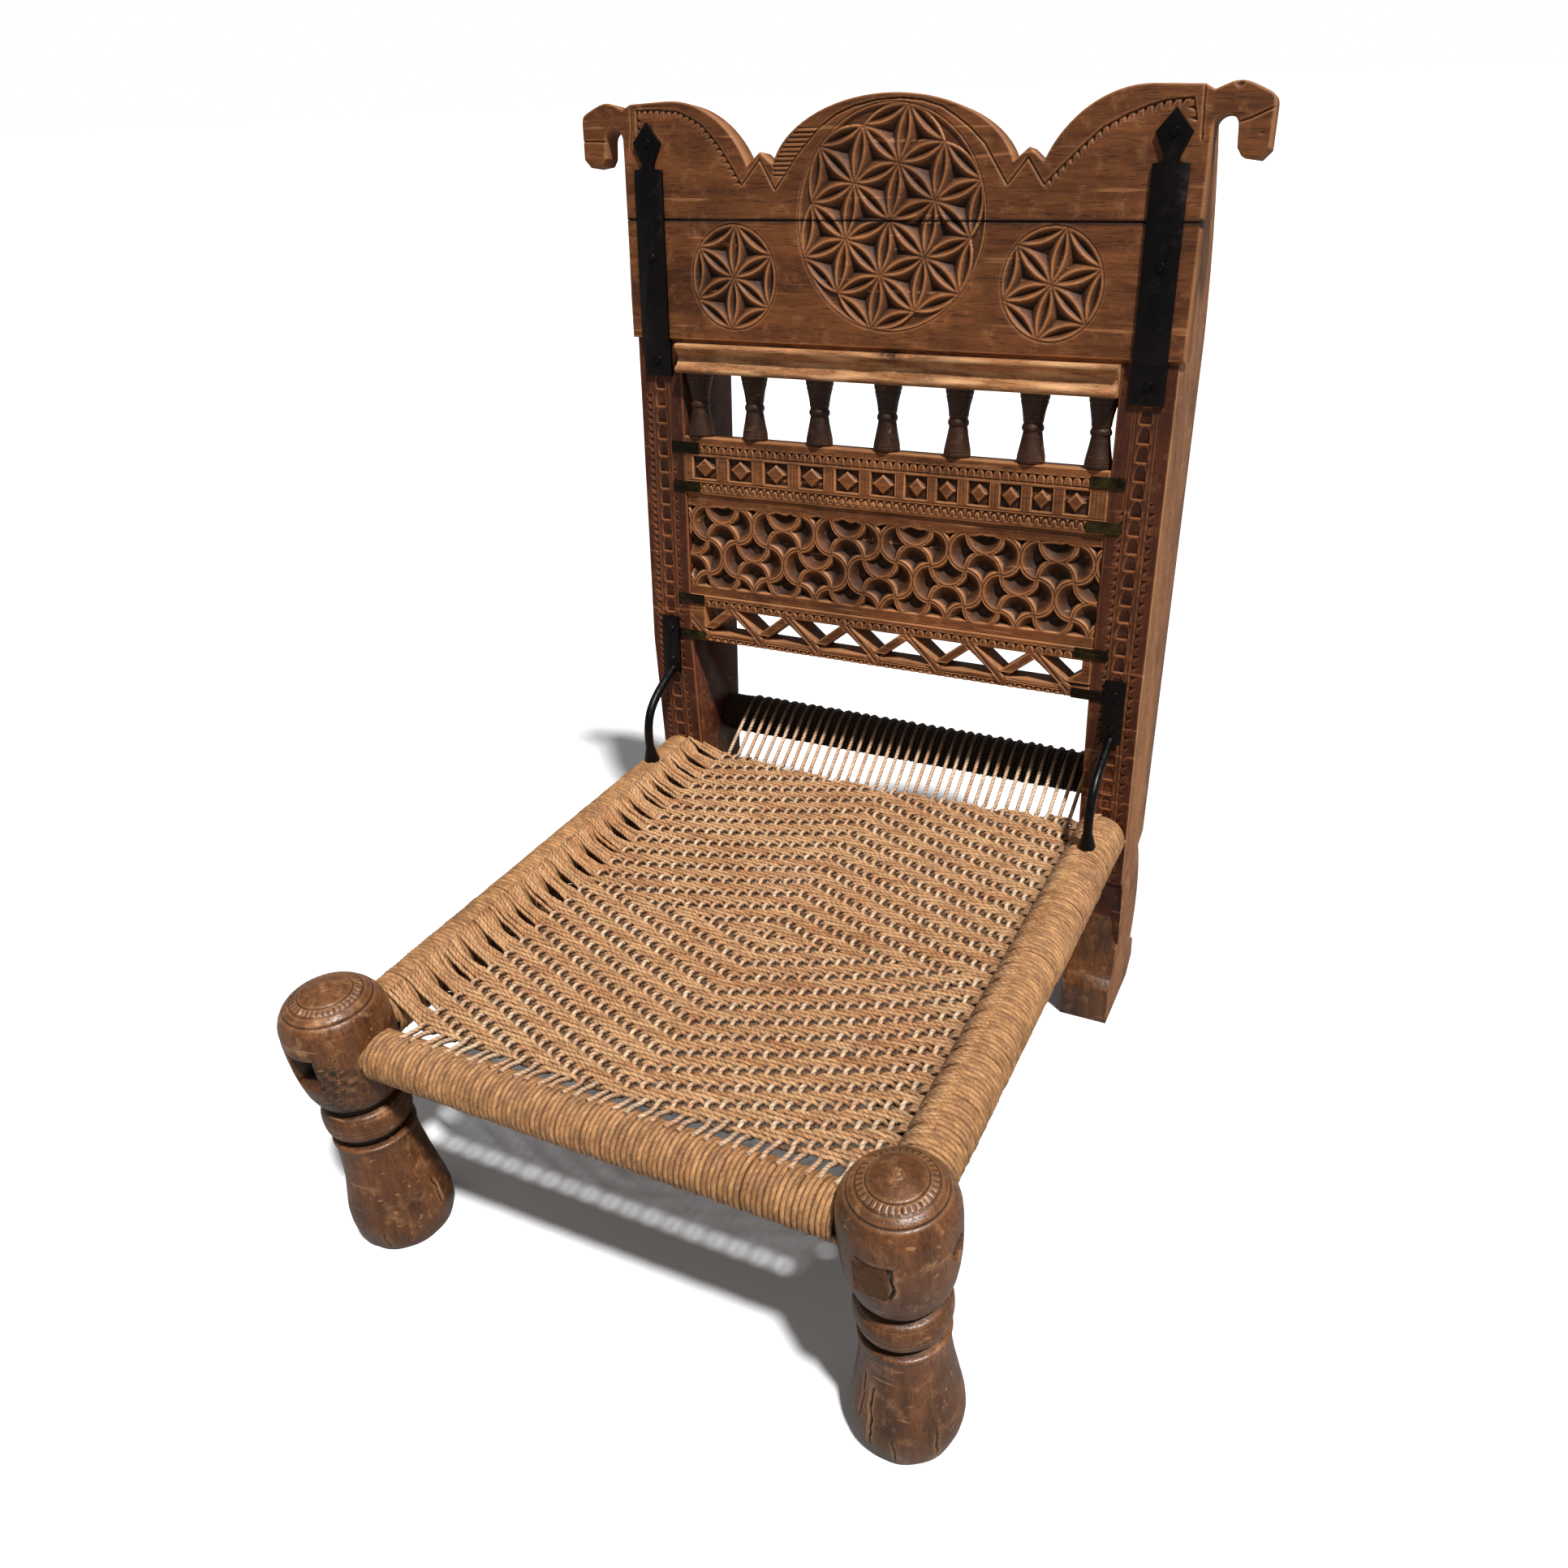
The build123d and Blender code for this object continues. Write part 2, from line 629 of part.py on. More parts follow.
def weave_section(y, sag):
    """Section of the woven seat across the chair, hanging by sag in the middle."""
    with BuildSketch(Plane.XZ.offset(-y)) as area:
        with BuildLine():
            top = ThreePointArc(
                (-weave_half, weave_edge), (0, weave_edge - sag), (weave_half, weave_edge)
            )
            low = ThreePointArc(
                (weave_half, weave_edge - weave_thickness),
                (0, weave_edge - sag - weave_thickness),
                (-weave_half, weave_edge - weave_thickness),
            )
            Line(top @ 1, low @ 0)
            Line(low @ 1, top @ 0)
        make_face()
    return area.sketch


front_sag = rail_top - rail_height - front_twine_radius + 1
with BuildPart() as weave:
    loft(
        [
            weave_section(weave_front_y, front_sag),
            weave_section(weave_mid_y - seat_reach / 4, weave_sag * 0.85),
            weave_section(weave_mid_y, weave_sag),
            weave_section(weave_rear_y, weave_sag * 0.55),
        ]
    )
    for side in (-1, 1):
        x, leg_x = side * rail_x, side * half_legs
        extrude(
            long_circle(x, side_twine_radius + soft_gap),
            amount=-(seat_reach + stile_depth),
            mode=Mode.SUBTRACT,
        )
        extrude(
            long_circle(x, side_twine_radius + soft_gap), amount=block_radius, mode=Mode.SUBTRACT
        )
        revolve(leg_sketch(leg_x, soft_gap), axis=leg_axis(leg_x), mode=Mode.SUBTRACT)
        # the weave narrows to pass between the stiles
        lap_x = side * (half_inner - soft_gap + stile_width / 2)
        with Locations((lap_x, back_y + weave_rear, rail_height)):
            Box(
                stile_width,
                2 * (weave_rear - face_offset(rail_height)) + 2 * soft_gap + 6,
                stile_depth,
                mode=Mode.SUBTRACT,
            )
    extrude(
        cross_circle(cross_at_front, leg_y, rail_height, front_twine_radius + soft_gap),
        amount=leg_spacing,
        mode=Mode.SUBTRACT,
    )
save(weave.part, "seat_weave")

# bare warps: straight cords from the rear edge of the weave up to the back rail's twine
warp_y = weave_rear_y + soft_gap + warp_radius
with BuildPart() as warps:
    for i in range(warp_count):
        x = warp_left_margin - half_inner + i * warp_pitch
        drop = weave_sag * 0.55 * (1 - (x / weave_half) ** 2)
        z = weave_edge - drop - weave_thickness / 2
        dy, dz = back_rail_y - warp_y, back_rail_height - z
        reach = back_twine_radius + soft_gap + warp_radius
        gap = hypot(dy, dz)
        length = sqrt(gap**2 - reach**2)
        rise = atan2(dz, dy) + atan2(reach, length)
        start = Plane(origin=(x, warp_y, z), x_dir=(1, 0, 0), z_dir=(0, cos(rise), sin(rise)))
        with BuildSketch(start):
            Circle(warp_radius)
        extrude(amount=length)
save(warps.part, "rear_warps")

# ---- boards of the back ------------------------------------------------------------------
def crest_outline():
    """Front view of the crest board: three arches, two cusps and a horse's head each end."""
    arch_foot = valley_height - centre_arch_drop
    rise = crest_top - arch_foot
    side_arch_end = board_half_width - side_arch_flat
    head_length = head_reach - board_half_width
    neck = (board_half_width - 1.5, crest_top - 6)
    muzzle = crest_top - head_drop
    nose = head_reach - muzzle_width
    throat = muzzle + cheek_height
    with BuildSketch(back_plane(board_proud)) as face:
        with BuildLine() as half:
            centre = EllipticalCenterArc(
                (0, arch_foot), cusp_centre - cusp_half_width + 2, rise, start_angle=arch_lift,
                arc_size=90 - arch_lift,
            )
            cusp = Polyline(
                centre @ 0,
                (cusp_centre, valley_height + cusp_rise),
                (cusp_centre + cusp_half_width, valley_height - 1),
            )
            side_arch = ThreePointArc(
                cusp @ 1,
                (side_arch_end - side_arch_radius * 0.62, crest_top - side_arch_radius * 0.215),
                (side_arch_end, crest_top - 0.5),
            )
            top = Polyline(side_arch @ 1, (board_half_width - 9, crest_top - 2), neck)
            poll = Spline(
                neck,
                (board_half_width + head_length * 0.37, crest_top - 0.5),
                (head_reach - head_length * 0.13, crest_top - 8),
                (head_reach, crest_top - 18),
                tangents=[(1, 0.35), (0, -1)],
            )
            head = Polyline(
                poll @ 1,
                (head_reach, muzzle + 7),
                (head_reach - 7, muzzle),
                (nose + 4, muzzle + 2),
                (nose, muzzle + 8),
                (nose - 1, throat),
            )
            jaw = ThreePointArc(
                head @ 1, (nose - 1 - throat_radius, throat + throat_radius),
                (nose - 1 - 2 * throat_radius, throat),
            )
            Polyline(
                jaw @ 1,
                (board_half_width, throat - 14),
                (board_half_width, seam_height + seam_gap / 2),
                (0, seam_height + seam_gap / 2),
                centre @ 1,
            )
        make_face()
        mirror(about=Plane.YZ)
    return face.sketch


def rosette(x, v, turn, rings):
    """Petals between the neighbours of a triangular net of points, rings wide each way."""
    across = Vector(petal_length, 0).rotate(Axis.Z, turn)
    rising = across.rotate(Axis.Z, 60)
    net = [
        (i, j)
        for i in range(-rings, rings + 1)
        for j in range(-rings, rings + 1)
        if abs(i + j) <= rings
    ]
    with BuildSketch(back_plane(board_proud)) as petals:
        for i, j in net:
            for step_i, step_j in ((1, 0), (0, 1), (-1, 1)):
                if (i + step_i, j + step_j) not in net:
                    continue
                along = (across * step_i + rising * step_j).normalized()
                broad = along.rotate(Axis.Z, 90) * petal_half_width
                root = Vector(x, v) + across * i + rising * j
                low = root + along * petal_tip
                high = root + along * (petal_length - petal_tip)
                middle = (low + high) / 2
                with BuildLine():
                    ThreePointArc(low, middle + broad, high)
                    ThreePointArc(high, middle - broad, low)
                make_face()
    return petals.sketch


main_flower = rosette(main_rosette_x, seam_height, main_rosette_turn, 2)

with BuildPart() as crest:
    extrude(crest_outline(), amount=-board_thickness)
    extrude(main_flower, amount=-petal_depth, taper=petal_flare, mode=Mode.SUBTRACT)
    near = [(x, v) for x, v in strap_nails if v > seam_height]
    extrude(nail_holes(near, nail_radius + fit), amount=-through_all, mode=Mode.SUBTRACT)
save(crest.part, "crest_board")

with BuildPart() as rosette_board:
    height = seam_height - seam_gap / 2 - rosette_bottom
    extrude(
        back_sketch(0, rosette_bottom + height / 2, 2 * board_half_width, height, board_proud),
        amount=-board_thickness,
    )
    extrude(main_flower, amount=-petal_depth, taper=petal_flare, mode=Mode.SUBTRACT)
    for side, turn in ((-1, left_rosette_turn), (1, right_rosette_turn)):
        middle = rosette_bottom + small_rosette_rise
        flower = rosette(side * small_rosette_x, middle, turn, 1)
        extrude(flower, amount=-petal_depth, taper=petal_flare, mode=Mode.SUBTRACT)
    near = [(x, v) for x, v in strap_nails if rosette_bottom < v < seam_height]
    extrude(nail_holes(near, nail_radius + fit), amount=-through_all, mode=Mode.SUBTRACT)
save(rosette_board.part, "rosette_board")


# ---- rails and spindles between the stiles -----------------------------------------------
def spindle_holes(v):
    """Round blind holes for the spindle tenons, seen along the slope of the back."""
    start = back_plane(-spindle_setback)
    up = Plane(origin=start.from_local_coords((0, v, 0)), x_dir=(1, 0, 0), z_dir=start.y_dir)
    with BuildSketch(up) as holes:
        with Locations(*[(x, 0) for x in spindle_x]):
            Circle(spindle_tenon_radius + fit)
    return holes.sketch


def end_plane(x):
    """Plane across the back at x, whose x is w and whose y is v."""
    here = back_plane()
    return Plane(
        origin=here.from_local_coords((x, 0, 0)), x_dir=here.z_dir, z_dir=here.x_dir * -1
    )


with BuildPart() as moulding:
    with BuildSketch(end_plane(-half_inner)):
        with BuildLine():
            high, low = moulding_top - moulding_step, moulding_bottom
            upper = Polyline(
                (-moulding_back, low),
                (-moulding_back, moulding_top),
                (-moulding_step_back, moulding_top),
                (-moulding_step_back, high),
                (moulding_proud - 3, high),
            )
            bead = ThreePointArc(
                upper @ 1, (moulding_proud, high - 3.5), (moulding_proud - 3, high - 7)
            )
            cove = ThreePointArc(
                bead @ 1, (moulding_proud - 6, high - 12), (moulding_proud - 1.5, low + 6)
            )
            nosing = ThreePointArc(
                cove @ 1, (moulding_proud + 0.5, low + 3), (moulding_proud - 2, low)
            )
            Line(nosing @ 1, upper @ 0)
        make_face()
    extrude(amount=-inner_width)
    for area, thick in rail_tenons(moulding_bottom, moulding_top, moulding_tenon_back, tenon_length):
        extrude(area, amount=thick)
    deep = spindle_tenon_length + end_gap
    extrude(spindle_holes(moulding_bottom), amount=deep, mode=Mode.SUBTRACT)
save(moulding.part, "moulding_rail")

for number, x in enumerate(spindle_x, 1):
    low, high = diamond_top, moulding_bottom
    middle = (low + high) / 2
    start = back_plane(-spindle_setback)
    upright = Plane(
        origin=start.from_local_coords((x, 0, 0)), x_dir=(1, 0, 0), z_dir=start.z_dir
    )
    with BuildPart() as spindle:
        with BuildSketch(upright):
            with BuildLine():
                tail = Polyline(
                    (0, low - spindle_tenon_length),
                    (spindle_tenon_radius, low - spindle_tenon_length),
                    (spindle_tenon_radius, low),
                    (spindle_foot_radius, low),
                    (spindle_foot_radius, low + 2),
                    (spindle_waist_radius, middle - 2),
                    (spindle_ring_radius, middle - 1),
                    (spindle_ring_radius, middle + 1.5),
                    (spindle_waist_radius, middle + 3),
                )
                flare = Spline(
                    tail @ 1,
                    (spindle_waist_radius + 1, middle + 14),
                    (spindle_top_radius, high),
                    tangents=[(0, 1), (0.6, 1)],
                )
                Polyline(
                    flare @ 1,
                    (spindle_tenon_radius, high),
                    (spindle_tenon_radius, high + spindle_tenon_length),
                    (0, high + spindle_tenon_length),
                    tail @ 0,
                )
            make_face()
        revolve(axis=Axis(upright.origin, upright.y_dir))
    save(spindle.part, f"spindle_{number}")


def carved_rail(bottom, top):
    """Plain body of a rail between the stiles, with its tenons."""
    with BuildPart() as body:
        extrude(
            back_sketch(0, (top + bottom) / 2, inner_width, top - bottom, -rail_thickness),
            amount=rail_thickness,
        )
        for area, thick in rail_tenons(bottom, top, mid_rail - tenon_thickness / 2, tenon_length):
            extrude(area, amount=thick)
    return body.part


def panel_groove(v, direction):
    """Groove for the panel's edge in the face of a rail at height v."""
    low = v - 1 if direction > 0 else v - tongue - end_gap
    height = tongue + end_gap + 1
    return back_sketch(
        0, low + height / 2, inner_width + 2, height, -mid_rail - tongue_thickness / 2 - fit
    )


def diamond_x(i):
    """Middle of diamond i, counted from the left."""
    last = diamond_count - 1
    even = diamond_first + (diamond_last - diamond_first) * i / last
    return even + diamond_crowding * i * (last - i)


def clip_holes(bottom, top):
    """Nail holes of the clips that lie on the rail between bottom and top."""
    near = [(x, v) for x, v in clip_nails if abs(x) < half_inner and bottom < v < top]
    return nail_holes(near, clip_nail_radius + fit)


with BuildPart() as diamond_rail:
    add(carved_rail(diamond_bottom, diamond_top))
    extrude(
        panel_groove(diamond_bottom, 1), amount=tongue_thickness + 2 * fit, mode=Mode.SUBTRACT
    )
    deep = spindle_tenon_length + end_gap
    extrude(spindle_holes(diamond_top), amount=-deep, mode=Mode.SUBTRACT)
    deep = drill_start + clip_nail_depth + end_gap
    extrude(clip_holes(diamond_bottom, diamond_top), amount=-deep, mode=Mode.SUBTRACT)
    # sunk band in which the diamonds and their dividers stay standing
    with BuildSketch(back_plane()):
        with Locations((0, (band_low + band_high) / 2)):
            Rectangle(2 * (half_inner - clip_length / 2 - 1), band_high - band_low)
        for i in range(diamond_count):
            reach = diamond_wide / 2 if i < diamond_count / 2 else diamond_narrow / 2
            with Locations((diamond_x(i), (band_low + band_high) / 2)):
                Polygon(
                    (-reach, 0),
                    (0, diamond_height / 2),
                    (reach, 0),
                    (0, -diamond_height / 2),
                    mode=Mode.SUBTRACT,
                )
            if i:
                between = (diamond_x(i - 1) + diamond_x(i)) / 2
                with Locations((between, (band_low + band_high) / 2)):
                    Rectangle(divider_width, band_high - band_low, mode=Mode.SUBTRACT)
    extrude(amount=-band_sink, mode=Mode.SUBTRACT)
save(diamond_rail.part, "diamond_rail")

with BuildPart() as lattice_rail:
    add(carved_rail(lattice_bottom, lattice_top))
    extrude(
        panel_groove(lattice_top, -1), amount=tongue_thickness + 2 * fit, mode=Mode.SUBTRACT
    )
    deep = drill_start + clip_nail_depth + end_gap
    extrude(clip_holes(lattice_bottom, lattice_top), amount=-deep, mode=Mode.SUBTRACT)
    # pierced zigzag: triangles by turns apex down and apex up, the outermost two cut short
    half_base = lattice_pitch / 2
    tall = lattice_high - lattice_low
    inset = lattice_bar / 2 * hypot(half_base, tall) / tall
    with BuildSketch(back_plane()):
        for i in range(2 * lattice_cells + 1):
            x = lattice_start + i * half_base
            base, apex = (lattice_low, lattice_high) if i % 2 else (lattice_high, lattice_low)
            slope = (half_base - inset) / half_base
            with BuildLine():
                Polyline(
                    (x - half_base + inset, base),
                    (x + half_base - inset, base),
                    (x, base + (apex - base) * slope),
                    close=True,
                )
            make_face()
        open_low, open_high = lattice_open
        with Locations(((open_low + open_high) / 2, (lattice_low + lattice_high) / 2)):
            Rectangle(open_high - open_low, 2 * tall, mode=Mode.INTERSECT)
    extrude(amount=-rail_thickness, mode=Mode.SUBTRACT)
save(lattice_rail.part, "lattice_rail")


def lobe(x, v, turn):
    """Hollow of one lobe: a crescent's round end and the two waists of its figure."""
    waist = lobe_radius + ribbon_half_width
    tip = sqrt(waist**2 - lobe_radius**2)
    # the round end meets the waists where two circles cross
    apart = (waist**2 - (lobe_radius - ribbon_half_width) ** 2) / (2 * lobe_radius)
    across = (lobe_radius - apart + sqrt(2 * (lobe_radius - ribbon_half_width) ** 2
                                         - (lobe_radius - apart) ** 2)) / 2
    corner = (across + apart, across)
    middle_angle = (atan2(corner[1] - lobe_radius, corner[0]) + atan2(-lobe_radius, tip)) / 2
    side = (waist * cos(middle_angle), lobe_radius + waist * sin(middle_angle))
    place = back_plane(-panel_set_back)
    own = Plane(
        origin=place.from_local_coords((x, v, 0)),
        x_dir=place.x_dir.rotate(Axis((0, 0, 0), place.z_dir), turn),
        z_dir=place.z_dir,
    )
    with BuildSketch(own) as hollow:
        with BuildLine():
            ThreePointArc((tip, 0), side, corner)
            ThreePointArc(corner, (2 * lobe_radius - ribbon_half_width, 0), (corner[0], -corner[1]))
            ThreePointArc((corner[0], -corner[1]), (side[0], -side[1]), (tip, 0))
        make_face()
    return hollow.sketch


with BuildPart() as panel:
    tall = panel_top - panel_bottom
    middle = (panel_top + panel_bottom) / 2
    extrude(
        back_sketch(0, middle, inner_width - 2 * seam_gap, tall, -panel_set_back),
        amount=-panel_thickness,
    )
    extrude(
        back_sketch(
            0,
            middle,
            inner_width + 2 * tongue,
            tall + 2 * tongue,
            -mid_rail - tongue_thickness / 2,
        ),
        amount=tongue_thickness,
    )
    # two lobes to each figure; figures lie down and stand up by turns
    low, high = panel_bottom + crescent_low_margin, panel_top - crescent_top_margin
    first_x, first_v = crescent_start - half_inner, panel_top - crescent_top_row
    columns = int(inner_width / lobe_radius / 2) + 1
    rows = int(panel_height / lobe_row) + 2
    for column in range(-1, columns):
        for row in range(-1, rows):
            x, v = first_x + column * 2 * lobe_radius, first_v - row * lobe_row
            for turn in (0, 180):
                turn += 90 * ((column + row) % 2)
                reach_x = x + lobe_radius * cos(radians(turn))
                reach_v = v + lobe_radius * sin(radians(turn))
                if not low < reach_v < high or abs(reach_x) > half_inner - lobe_radius:
                    continue
                extrude(
                    lobe(x, v, turn), amount=-lobe_depth, taper=lobe_flare, mode=Mode.SUBTRACT
                )
save(panel.part, "crescent_panel")

# ---- ironwork ----------------------------------------------------------------------------
for name, side in (("left", -1), ("right", 1)):
    x = side * rail_x
    with BuildPart() as strap:
        with BuildSketch(back_plane(board_proud)):
            with Locations((x, 0)):
                Polygon(
                    (-strap_half_width, rosette_bottom - strap_thickness),
                    (-strap_half_width, strap_collar),
                    (-strap_neck_half_width, strap_collar + 1),
                    (-strap_neck_half_width, strap_neck),
                    (-strap_half_width, strap_shoulder),
                    (0, strap_tip),
                    (strap_half_width, strap_shoulder),
                    (strap_neck_half_width, strap_neck),
                    (strap_neck_half_width, strap_collar + 1),
                    (strap_half_width, strap_collar),
                    (strap_half_width, rosette_bottom - strap_thickness),
                    align=None,
                )
        extrude(amount=strap_thickness)
        # below the boards the strap is set back against the face of the stile
        joggle = rosette_bottom - seam_gap - strap_thickness
        extrude(
            back_sketch(x, joggle + strap_thickness / 2, 2 * strap_half_width, strap_thickness),
            amount=board_proud + strap_thickness,
        )
        extrude(
            back_sketch(
                x, (strap_bottom + joggle) / 2, 2 * strap_half_width, joggle - strap_bottom
            ),
            amount=strap_thickness,
        )
        extrude(
            nail_holes(strap_nails, nail_radius + fit), amount=-through_all, mode=Mode.SUBTRACT
        )
    save(strap.part, f"strap_{name}")

    # arm: nailed plate, curved rod and a flared foot spiked into the side rail
    foot_z = rail_top + soft_gap
    plate_low = plate_bottom / sqrt(1 + lean_slope**2)
    root_y = back_y + face_offset(plate_low) - plate_thickness - arm_radius * 0.2
    with BuildPart() as arm:
        extrude(
            back_sketch(
                x, (plate_bottom + plate_top) / 2, 2 * plate_half_width, plate_top - plate_bottom
            ),
            amount=plate_thickness,
        )
        extrude(
            nail_holes(plate_nails, nail_radius + fit), amount=-through_all, mode=Mode.SUBTRACT
        )
        foot_top = Vector(x, foot_y, foot_z + arm_foot_height)
        root = Vector(x, root_y, plate_low + 4)
        with BuildLine() as bend:
            rise = root.Z - foot_top.Z
            run = root.Y - foot_top.Y
            upright = Line(foot_top - Vector(0, 0, 2), foot_top)
            Spline(
                upright @ 1,
                (x, foot_y + run * 0.16, foot_top.Z + rise * 0.55),
                root,
                tangents=[(0, 0, 1), (0, 1, 0.45)],
            )
        with BuildSketch(Plane(origin=bend.line @ 0, z_dir=bend.line % 0)):
            Circle(arm_radius)
        sweep(path=bend.line)
        with BuildSketch(Plane.XY.offset(foot_z)):
            with Locations((x, foot_y)):
                Circle(arm_foot_radius)
        with BuildSketch(Plane.XY.offset(foot_z + arm_foot_height)):
            with Locations((x, foot_y)):
                Circle(arm_radius)
        loft()
        with BuildSketch(Plane.XY.offset(foot_z)):
            with Locations((x, foot_y)):
                Circle(spike_radius)
        extrude(amount=-(soft_gap + twine + spike_length))
    save(arm.part, f"arm_{name}")

    for number, v in enumerate(clip_levels, 1):
        with BuildPart() as clip:
            extrude(
                back_sketch(side * (half_inner - clip_shift), v, clip_length, clip_height),
                amount=clip_thickness,
            )
            holes = nail_holes(clip_nails, clip_nail_radius + fit)
            extrude(holes, amount=-through_all, mode=Mode.SUBTRACT)
        save(clip.part, f"clip_{name}_{number}")

nail = (nail_radius, nail_head_radius, nail_head_height)
on_boards = [(x, v) for x, v in strap_nails if v > rosette_bottom]
on_stiles = [(x, v) for x, v in strap_nails if v < rosette_bottom]
save(
    row_of_nails(on_boards, *nail, strap_nail_depth, board_proud + strap_thickness)
    + row_of_nails(on_stiles, *nail, plate_nail_depth, strap_thickness),
    "strap_nails",
)
save(row_of_nails(plate_nails, *nail, plate_nail_depth, plate_thickness), "arm_nails")
clip_nail = (clip_nail_radius, clip_nail_head, clip_nail_rise)
save(row_of_nails(clip_nails, *clip_nail, clip_nail_depth, clip_thickness), "clip_nails")
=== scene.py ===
"""Looks of a low hill chair: chip-carved boards, turned legs, ironwork and a twine seat.

Laid out as an add-on and run as a script. The packed model gives the frame; each operator
dresses one piece or one group of like pieces. Sizes inside the script are millimetres. The
back is drawn in its own leaning plane: x runs across it, v up its slope from the floor, and w
stands out from the face of the stiles towards the sitter.
"""

import math

import bmesh
import bpy
import numpy as np
from bpy.props import FloatProperty, FloatVectorProperty, PointerProperty
from mathutils import Matrix, Vector


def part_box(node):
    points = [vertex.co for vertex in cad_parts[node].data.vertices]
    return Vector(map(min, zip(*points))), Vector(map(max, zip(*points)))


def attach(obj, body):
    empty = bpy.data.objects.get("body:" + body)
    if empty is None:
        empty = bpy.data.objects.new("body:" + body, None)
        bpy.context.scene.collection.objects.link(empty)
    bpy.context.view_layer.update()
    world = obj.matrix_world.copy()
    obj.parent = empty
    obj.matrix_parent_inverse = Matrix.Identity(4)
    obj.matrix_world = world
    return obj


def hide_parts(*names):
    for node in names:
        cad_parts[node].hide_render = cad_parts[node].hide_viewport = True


bl_info = {
    "name": "Hill Chair",
    "version": (1, 0, 0),
    "blender": (4, 5, 0),
    "location": "3D View > Sidebar > Hill Chair",
    "description": "Carved boards, turned legs, ironwork and a twine seat on the chair's frame",
    "category": "Object",
}

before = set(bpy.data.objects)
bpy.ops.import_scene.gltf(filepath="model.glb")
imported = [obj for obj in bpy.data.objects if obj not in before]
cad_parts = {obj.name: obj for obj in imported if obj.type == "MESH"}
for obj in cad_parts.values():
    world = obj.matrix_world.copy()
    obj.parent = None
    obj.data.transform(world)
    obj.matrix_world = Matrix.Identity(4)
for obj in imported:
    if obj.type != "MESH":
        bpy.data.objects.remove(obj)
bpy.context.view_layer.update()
MM = 0.001


def box_mm(name):
    """Lowest and highest corner round a CAD node, in millimetres."""
    return np.array(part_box(name)) / MM


# ---- places read from the frame ------------------------------------------------------------
leg_low, leg_high = box_mm("leg_front_right")
LEG_X, LEG_Y = (leg_low[0] + leg_high[0]) / 2, (leg_low[1] + leg_high[1]) / 2
SEAT_REACH = 470.0  # leg axis to the plane of the back, at floor level
BACK_Y = LEG_Y + SEAT_REACH
BACK_SLOPE = 0.163  # how far the back leans away for each millimetre of height
LEAN = math.atan(BACK_SLOPE)
stile_low, stile_high = box_mm("stile_right")
HALF_INNER, HALF_OUTER = stile_low[0], stile_high[0]
RAIL_X = (HALF_INNER + HALF_OUTER) / 2
RAIL_Z = 215.5  # height of the seat rails' axes
twine_low, twine_high = box_mm("twine_rail_right")
SIDE_RADIUS = (twine_high[0] - twine_low[0]) / 2
front_low, front_high = box_mm("twine_rail_front")
FRONT_RADIUS = (front_high[2] - front_low[2]) / 2
back_low, back_high = box_mm("twine_rail_back")
BACK_RADIUS = (back_high[2] - back_low[2]) / 2
BACK_RAIL_Y, BACK_RAIL_Z = (back_low[1] + back_high[1]) / 2, (back_low[2] + back_high[2]) / 2

# ---- sizes of the carved back --------------------------------------------------------------
BOARD_PROUD, BOARD_THICKNESS = 3.0, 20.0  # the crest and rosette boards, before the stiles
RAIL_THICKNESS = 27.0
PANEL_SET_BACK, PANEL_THICKNESS = 2.0, 17.0
SEAM = 770.0  # where the crest board stands on the rosette board
PETAL = 45.3  # radius of the circles that the rosettes are drawn with
MAIN_ROSETTE = (2.4, 770.7, 20.0)  # x, v and turn in degrees
SMALL_ROSETTES = ((-157.2, 721.4, 25.5), (155.0, 722.0, 17.0))


# ---- small helpers -------------------------------------------------------------------------
def on_back(x, v, w):
    """World places, in metres, of points given on the leaning plane of the back."""
    x, v, w = np.broadcast_arrays(x, v, w)
    y = BACK_Y + v * math.sin(LEAN) - w * math.cos(LEAN)
    z = v * math.cos(LEAN) + w * math.sin(LEAN)
    return np.stack([x, y, z], axis=-1) * MM


def seen_on_back(points):
    """The same the other way: x, v and w in millimetres from world places in metres."""
    x, y, z = np.asarray(points).T / MM
    y = y - BACK_Y
    v = y * math.sin(LEAN) + z * math.cos(LEAN)
    w = z * math.sin(LEAN) - y * math.cos(LEAN)
    return np.stack([x, v, w], axis=-1)


def side_word(side):
    """The name of a side: -1 is left and 1 is right."""
    return "left" if side < 0 else "right"


def deselect():
    """Leave edit mode and select nothing."""
    if bpy.context.object and bpy.context.object.mode != "OBJECT":
        bpy.ops.object.mode_set(mode="OBJECT")
    bpy.ops.object.select_all(action="DESELECT")


def pick(piece):
    """Select one piece alone and make it active."""
    deselect()
    piece.select_set(True)
    bpy.context.view_layer.objects.active = piece


def places(piece):
    """Vertices of a piece as an array of world places in metres."""
    flat = np.empty(len(piece.data.vertices) * 3)
    piece.data.vertices.foreach_get("co", flat)
    return flat.reshape(-1, 3)


def put(piece, points):
    """Move the vertices of a piece to world places in metres."""
    piece.data.vertices.foreach_set("co", np.ascontiguousarray(points).ravel())
    piece.data.update()


def read_mask(piece, label):
    """Values that a piece keeps on its vertices under a label."""
    values = np.empty(len(piece.data.vertices))
    piece.data.attributes[label].data.foreach_get("value", values)
    return values


def write_mask(piece, label, values):
    """Keep a value for each vertex, which the piece's material reads under the label."""
    if label not in piece.data.attributes:
        piece.data.attributes.new(label, "FLOAT", "POINT")
    piece.data.attributes[label].data.foreach_set("value", np.ravel(values))


WELD = 0.00002  # points closer than this, in metres, become one


